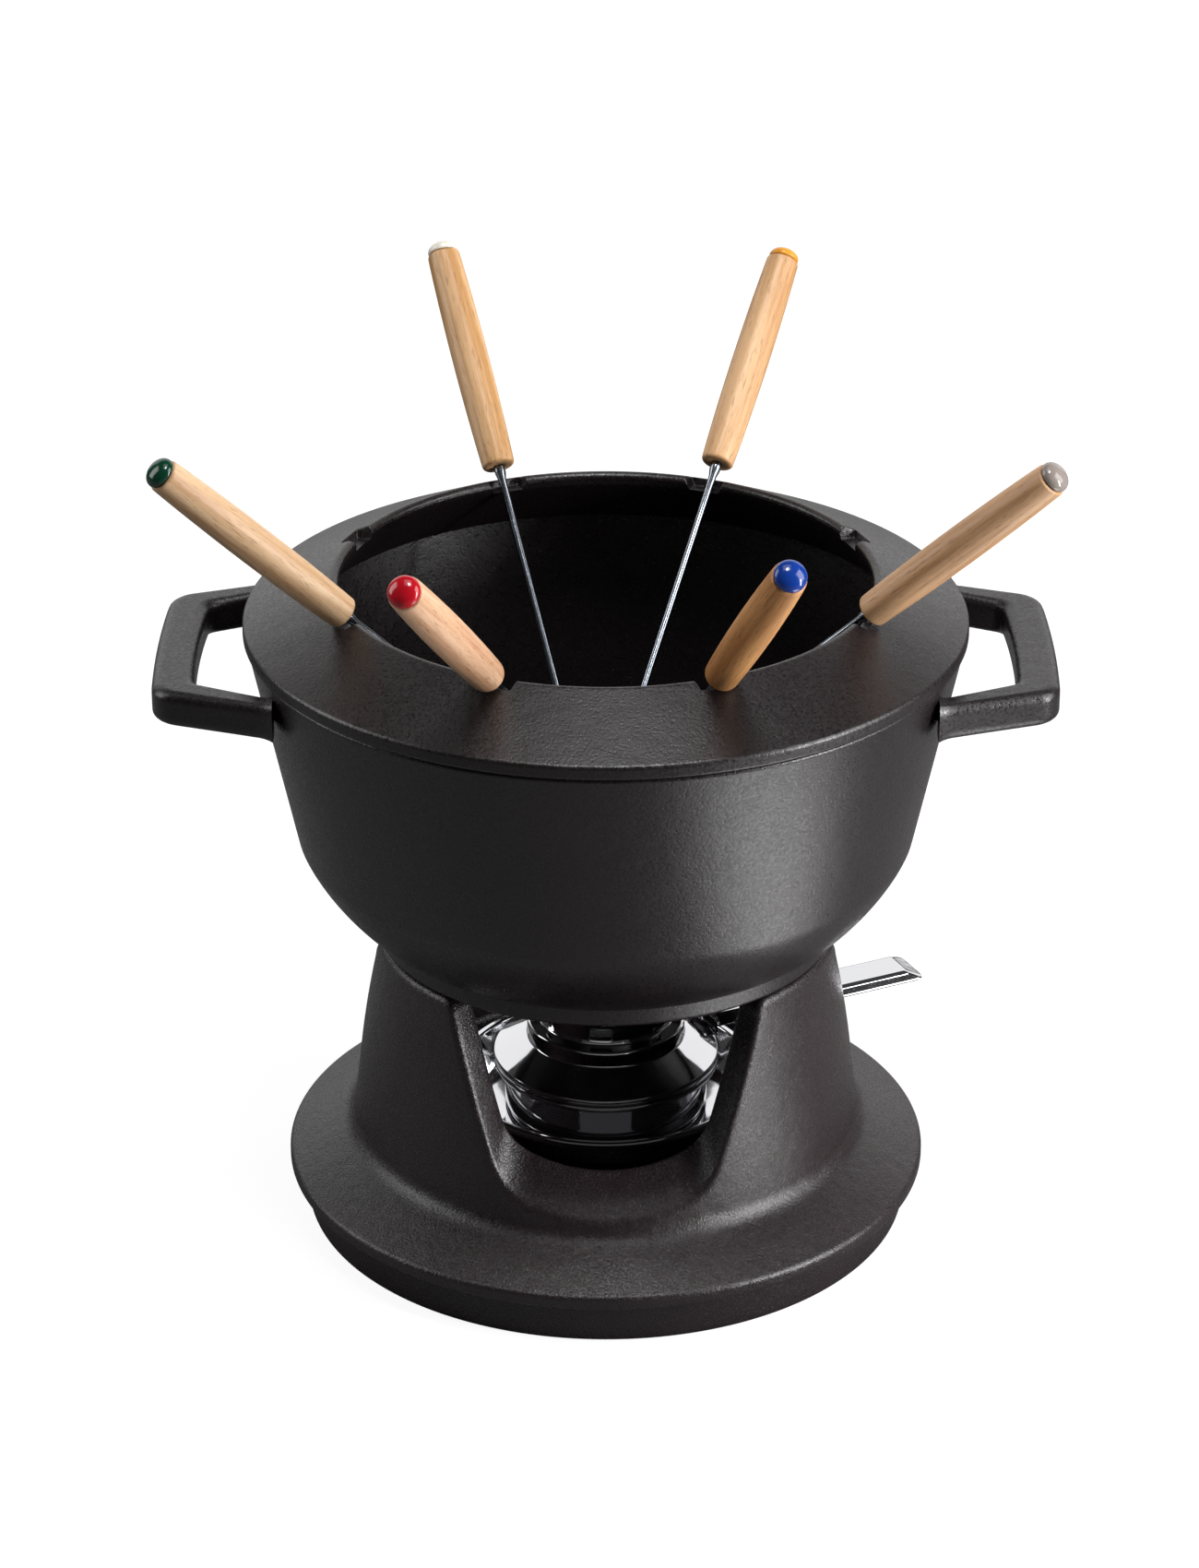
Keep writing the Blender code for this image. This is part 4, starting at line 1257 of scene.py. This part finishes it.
        made = skin.piece("regulator_strip_handle", closed=False, sharp=60.0)
        thickened(made, self.sheet, self.bar_edge)
        settle(made, "regulator", "polished_chrome", [CHROME], "regulator_handle")

    def build(self) -> None:
        """Makes the burner's pieces; the fixed sleeve inside keeps its CAD solid."""
        self.tray()
        self.cup()
        self.wick()
        self.regulator()
        self.handle()
        sleeve = frame["nodes"]["vent_sleeve"]
        sleeve.data.materials.clear()
        sleeve.data.materials.append(CHROME.material())


# ================================================================ forks
@dataclass
class Fork:
    """One fork, built along its own axis: origin at the handle's lower end, Z up the handle."""

    colour: ForkColour
    exposed: float = 0.1500
    rod_r: float = 0.0012
    flare_r: float = 0.0017
    flare_length: float = 0.0045
    tang: float = 0.0300
    tine_length: float = 0.0220
    tine_width: float = 0.0016
    head_width: float = 0.0056
    head_thickness: float = 0.0014
    handle_length: float = 0.0730
    handle_end_r: float = 0.0050
    handle_mid_r: float = 0.00565
    handle_rounds: tuple[float, float] = (0.0011, 0.0008)  # edge rounding at the lower and upper end
    cap_r: float = 0.0046
    cap_dome: float = 0.0036
    steps: int = 40

    @property
    def tag(self) -> str:
        """The fork's colour as it stands in the names of its nodes."""
        return self.colour.name.lower()

    def axes(self) -> tuple[Array, Array]:
        """Origin and axes (rows: sideways, over, along) of the fork, from its joint and handle."""
        joint = next(j for j in frame["joints"] if j["name"] == f"fork_pull_{self.tag}")
        along = np.array(joint["axis"], float)
        along /= np.linalg.norm(along)
        sideways = np.cross((0.0, 0.0, 1.0), along)
        sideways /= np.linalg.norm(sideways)
        mesh = frame["nodes"][f"fork_handle_{self.tag}"].data
        points = np.zeros(len(mesh.vertices) * 3)
        mesh.vertices.foreach_get("co", points)
        points = np.unique(points.reshape(-1, 3).round(7), axis=0)
        centre = points.mean(0)
        origin = centre + along * ((points @ along).min() - centre @ along)
        return origin, np.stack([sideways, np.cross(along, sideways), along])

    def settled(self, skin: Skin, part: str, slot: str, finish: Finish) -> None:
        """Moves a shape from the fork's axes into the frame and settles it."""
        origin, axes = self.axes()
        skin.points = [points @ axes + origin for points in skin.points]
        made = skin.piece(f"{self.tag}_fork_{part}")
        count = len(made.data.vertices)
        places = np.zeros(count * 3)
        made.data.vertices.foreach_get("co", places)
        shift = 0.1 * (list(ForkColour).index(self.colour) + 1)
        own = (places.reshape(-1, 3) - origin) @ axes.T + (shift, 0.37 * shift, shift)
        grain = made.data.attributes.new("grain", "FLOAT_VECTOR", "POINT")
        grain.data.foreach_set("vector", own.astype(np.float32).ravel())
        settle(made, f"fork_{self.tag}", slot, [finish], f"fork_{part}_{self.tag}")

    def handle(self) -> None:
        """Barrel handle: its radius swells from both ends by sin(pi share)^0.8."""
        share = np.linspace(0, 1, 44)
        swell = np.sin(math.pi * share) ** 0.8
        radius = self.handle_end_r + (self.handle_mid_r - self.handle_end_r) * swell
        (low, high), length = self.handle_rounds, self.handle_length
        angle = np.linspace(0, math.pi / 2, 7)
        foot = np.stack([radius[0] - low * (1 - np.sin(angle)), low * (1 - np.cos(angle))], 1)
        head = np.stack([radius[-1] - high * (1 - np.cos(angle)), length - high * (1 - np.sin(angle))], 1)
        side = np.stack([radius, low + (length - low - high) * share], 1)[1:-1]
        bore = self.rod_r + 0.0004
        core = [(0.0, self.tang + 0.0003), (bore, self.tang + 0.0003), (bore, 0.0004), (bore + 0.0004, 0.0)]
        stem = [(0.0024, length), (0.0024, length - 0.0053), (0.0, length - 0.0053)]
        line = np.concatenate([core, foot, side, head, stem])
        skin = Skin().add(turned(line, circle(self.steps)))
        self.settled(skin, "handle", "oiled_wood", self.colour.wood())

    def cap(self) -> None:
        """Domed cap: a quarter ellipse over a short rounded skirt, with its stem in the handle."""
        seat = self.handle_length + 0.0003
        angle = np.linspace(0, math.pi / 2, 14)
        skirt = 0.0007
        rise = seat + skirt + (self.cap_dome - skirt) * np.sin(angle)
        dome = np.stack([self.cap_r * np.cos(angle), rise], 1)
        foot = rounded([(0.0020, seat, 0), (self.cap_r, seat, 0.0005), (self.cap_r, seat + skirt, 0)], 4)
        stem = [(0.0, self.handle_length - 0.005), (0.0020, self.handle_length - 0.005)]
        line = np.concatenate([stem, foot[:-1], dome])
        skin = Skin().add(turned(line, circle(self.steps)))
        self.settled(skin, "cap", f"cap_{self.tag}", self.colour.cap())

    def rod(self) -> None:
        """Drawn rod with a flared ferrule; its end is flattened and split into two barbed tines.

        The section is an ellipse whose half axes follow the length: a circle on the rod, then wide
        and thin on the head. Each tine is a flat ellipse that tapers to its tip, with a barb.
        """
        around = np.append(circle(24), 0.0)[None]
        head_top = -self.exposed + self.tine_length
        z = np.array(
            [self.tang, self.tang, 0.0, -0.0003, -0.0010, -self.flare_length * 0.5, -self.flare_length]
            + [-0.02, -0.05, -0.08, -0.11, head_top + 0.0045]
        )
        r, f = self.rod_r, self.flare_r
        wide = np.array([0.0, r, r, f, f, f, r, r, r, r, r, r])
        head_z = np.linspace(head_top + 0.0045, head_top - 0.0010, 12)[1:]
        share = smooth_step((head_top + 0.0045 - head_z) / 0.0040)
        z = np.concatenate([z, head_z, head_z[-1:]])
        wide = np.concatenate([wide, r + (self.head_width / 2 - r) * share, [0.0]])
        thin = np.concatenate([wide[:12], r + (self.head_thickness / 2 - r) * share, [0.0]])
        x, y = wide[:, None] * np.cos(around), thin[:, None] * np.sin(around)
        skin = Skin().add(np.stack([x, y, z[:, None] + 0 * around], 2))
        tip = -self.exposed
        tine_z = np.array([head_top, head_top, *(tip + np.array([80, 60, 50, 45, 10, 0]) * 1e-4)])
        reach = self.tine_width / 2 * np.array([0.0, 1.0, 1.0, 1.0, 0.95, 1.25, 0.35, 0.0])
        depth = self.head_thickness / 2 * np.array([0.0, 1.0, 0.9, 0.85, 0.8, 0.8, 0.3, 0.0])
        for side in (1, -1):
            middle = side * (self.head_width - self.tine_width) / 2 * np.ones(len(tine_z))
            x = middle[:, None] + reach[:, None] * np.cos(around)
            y = depth[:, None] * np.sin(around)
            skin.add(np.stack([x, y, tine_z[:, None] + 0 * around], 2))
        self.settled(skin, "rod", "fork_steel", ROD_STEEL)

    def build(self) -> None:
        """Makes the fork's three pieces."""
        self.handle()
        self.cap()
        self.rod()


# ================================================================ studio
@dataclass
class Studio:
    """White floor, soft lights and the camera."""

    camera_place: tuple[float, float, float] = (0.0, -1.26049, 0.74554)
    camera_tilt: float = 64.2407
    lens: float = 107.59
    shift_x: float = -0.00403
    ambient: float = 0.05  # strength of the surroundings for all but the camera
    glow: float = 0.9  # what the floor adds for the camera alone
    aim: tuple[float, float, float] = (0.0, 0.0, 0.10)
    card: tuple[float, float, float] = (0.19, -0.17, 0.003)
    lights: tuple[tuple[str, tuple[float, float, float], tuple[float, float], float], ...] = (
        ("back_soft_light", (0.0, 1.75, 0.8), (3.2, 1.6), 16.0),
        ("right_soft_light", (1.25, -0.3, 0.8), (0.8, 1.1), 17.0),
        ("left_soft_light", (-1.3, 0.15, 0.8), (0.7, 1.1), 9.0),
        ("top_soft_light", (0.0, -0.05, 1.8), (0.9, 0.9), 5.0),
        ("over_light", (0.1, -0.32, 1.7), (0.3, 0.3), 11.0),
        ("low_right_strip", (0.8, -0.42, 0.24), (0.07, 0.45), 7.0),
    )

    def light(self, name: str, place: Array, aim: Array, size: tuple[float, float], power: float) -> None:
        """A rectangular soft light.

        Args:
            name: Its name.
            place: Where it stands.
            aim: Point that it faces.
            size: Its width and height.
            power: Watts.
        """
        lamp = bpy.data.lights.new(name, "AREA")
        lamp.shape = "RECTANGLE"
        lamp.size, lamp.size_y = size
        lamp.energy = power
        made = linked(name, lamp)
        made.visible_camera = False
        made.location = place
        back = np.array(place) - np.array(aim)
        made.rotation_euler = (math.acos(back[2] / np.linalg.norm(back)), 0.0, math.atan2(back[0], -back[1]))

    def floor(self) -> None:
        """Pale paper floor that shows the camera more white than it throws on the object."""
        ends = np.array([-4.0, 4.0])
        x, y = np.meshgrid(ends, ends)
        made = Skin().add(np.stack([x, y, 0 * x], 2)).piece("studio_floor", closed=False)
        paper = bpy.data.materials.new("white_paper_floor")
        paper.use_nodes = True
        seen = add_node(paper.node_tree, "ShaderNodeLightPath").outputs["Is Camera Ray"]
        tree = paper.node_tree
        glow = add_node(tree, "ShaderNodeMath", {"operation": "MULTIPLY"}, {1: self.glow}, {0: seen})
        surface = {
            "Base Color": hex_colour("#7a7a7a"),
            "Emission Color": hex_colour("#ffffff"),
            "Roughness": 0.95,
            "Specular IOR Level": 0.1,
        }
        shader = paper.node_tree.nodes["Principled BSDF"]
        feed(shader, surface, {"Emission Strength": glow.outputs["Value"]})
        made.data.materials.append(paper)

    def world(self) -> None:
        """White behind everything, but only a dim glow on the object itself."""
        made = bpy.data.worlds.new("studio")
        made.use_nodes = True
        seen = add_node(made.node_tree, "ShaderNodeLightPath").outputs["Is Camera Ray"]
        share = {1: 1.0 - self.ambient, 2: self.ambient}
        strength = add_node(made.node_tree, "ShaderNodeMath", {"operation": "MULTIPLY_ADD"}, share, {0: seen})
        background = made.node_tree.nodes["Background"]
        feed(background, {"Color": hex_colour("#ffffff")}, {"Strength": strength.outputs["Value"]})
        bpy.context.scene.world = made
        bpy.context.scene.view_settings.view_transform = "Standard"

    def build(self) -> None:
        """Floor, world, lights and camera."""
        self.floor()
        self.world()
        for name, place, size, power in self.lights:
            self.light(name, place, self.aim, size, power)
        self.light("right_floor_card", self.card, (*self.card[:2], 1.0), (0.14, 0.2), 0.4)
        lens = bpy.data.cameras.new("view")
        lens.lens, lens.sensor_width, lens.shift_x = self.lens, 36.0, self.shift_x
        camera = linked("view", lens)
        camera.location = self.camera_place
        camera.rotation_euler = (math.radians(self.camera_tilt), 0.0, 0.0)
        bpy.context.scene.camera = camera


def main() -> None:
    """Builds the set round the loaded frame, then the studio."""
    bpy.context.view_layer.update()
    for part in (Stand(), Pot(), SplashRing(), Burner(), *(Fork(colour) for colour in ForkColour)):
        part.build()
        log.info("%s is done", type(part).__name__)
    Studio().build()


if __name__ == "__main__":
    logging.basicConfig(level=logging.INFO, format="%(name)s: %(message)s")
    main()
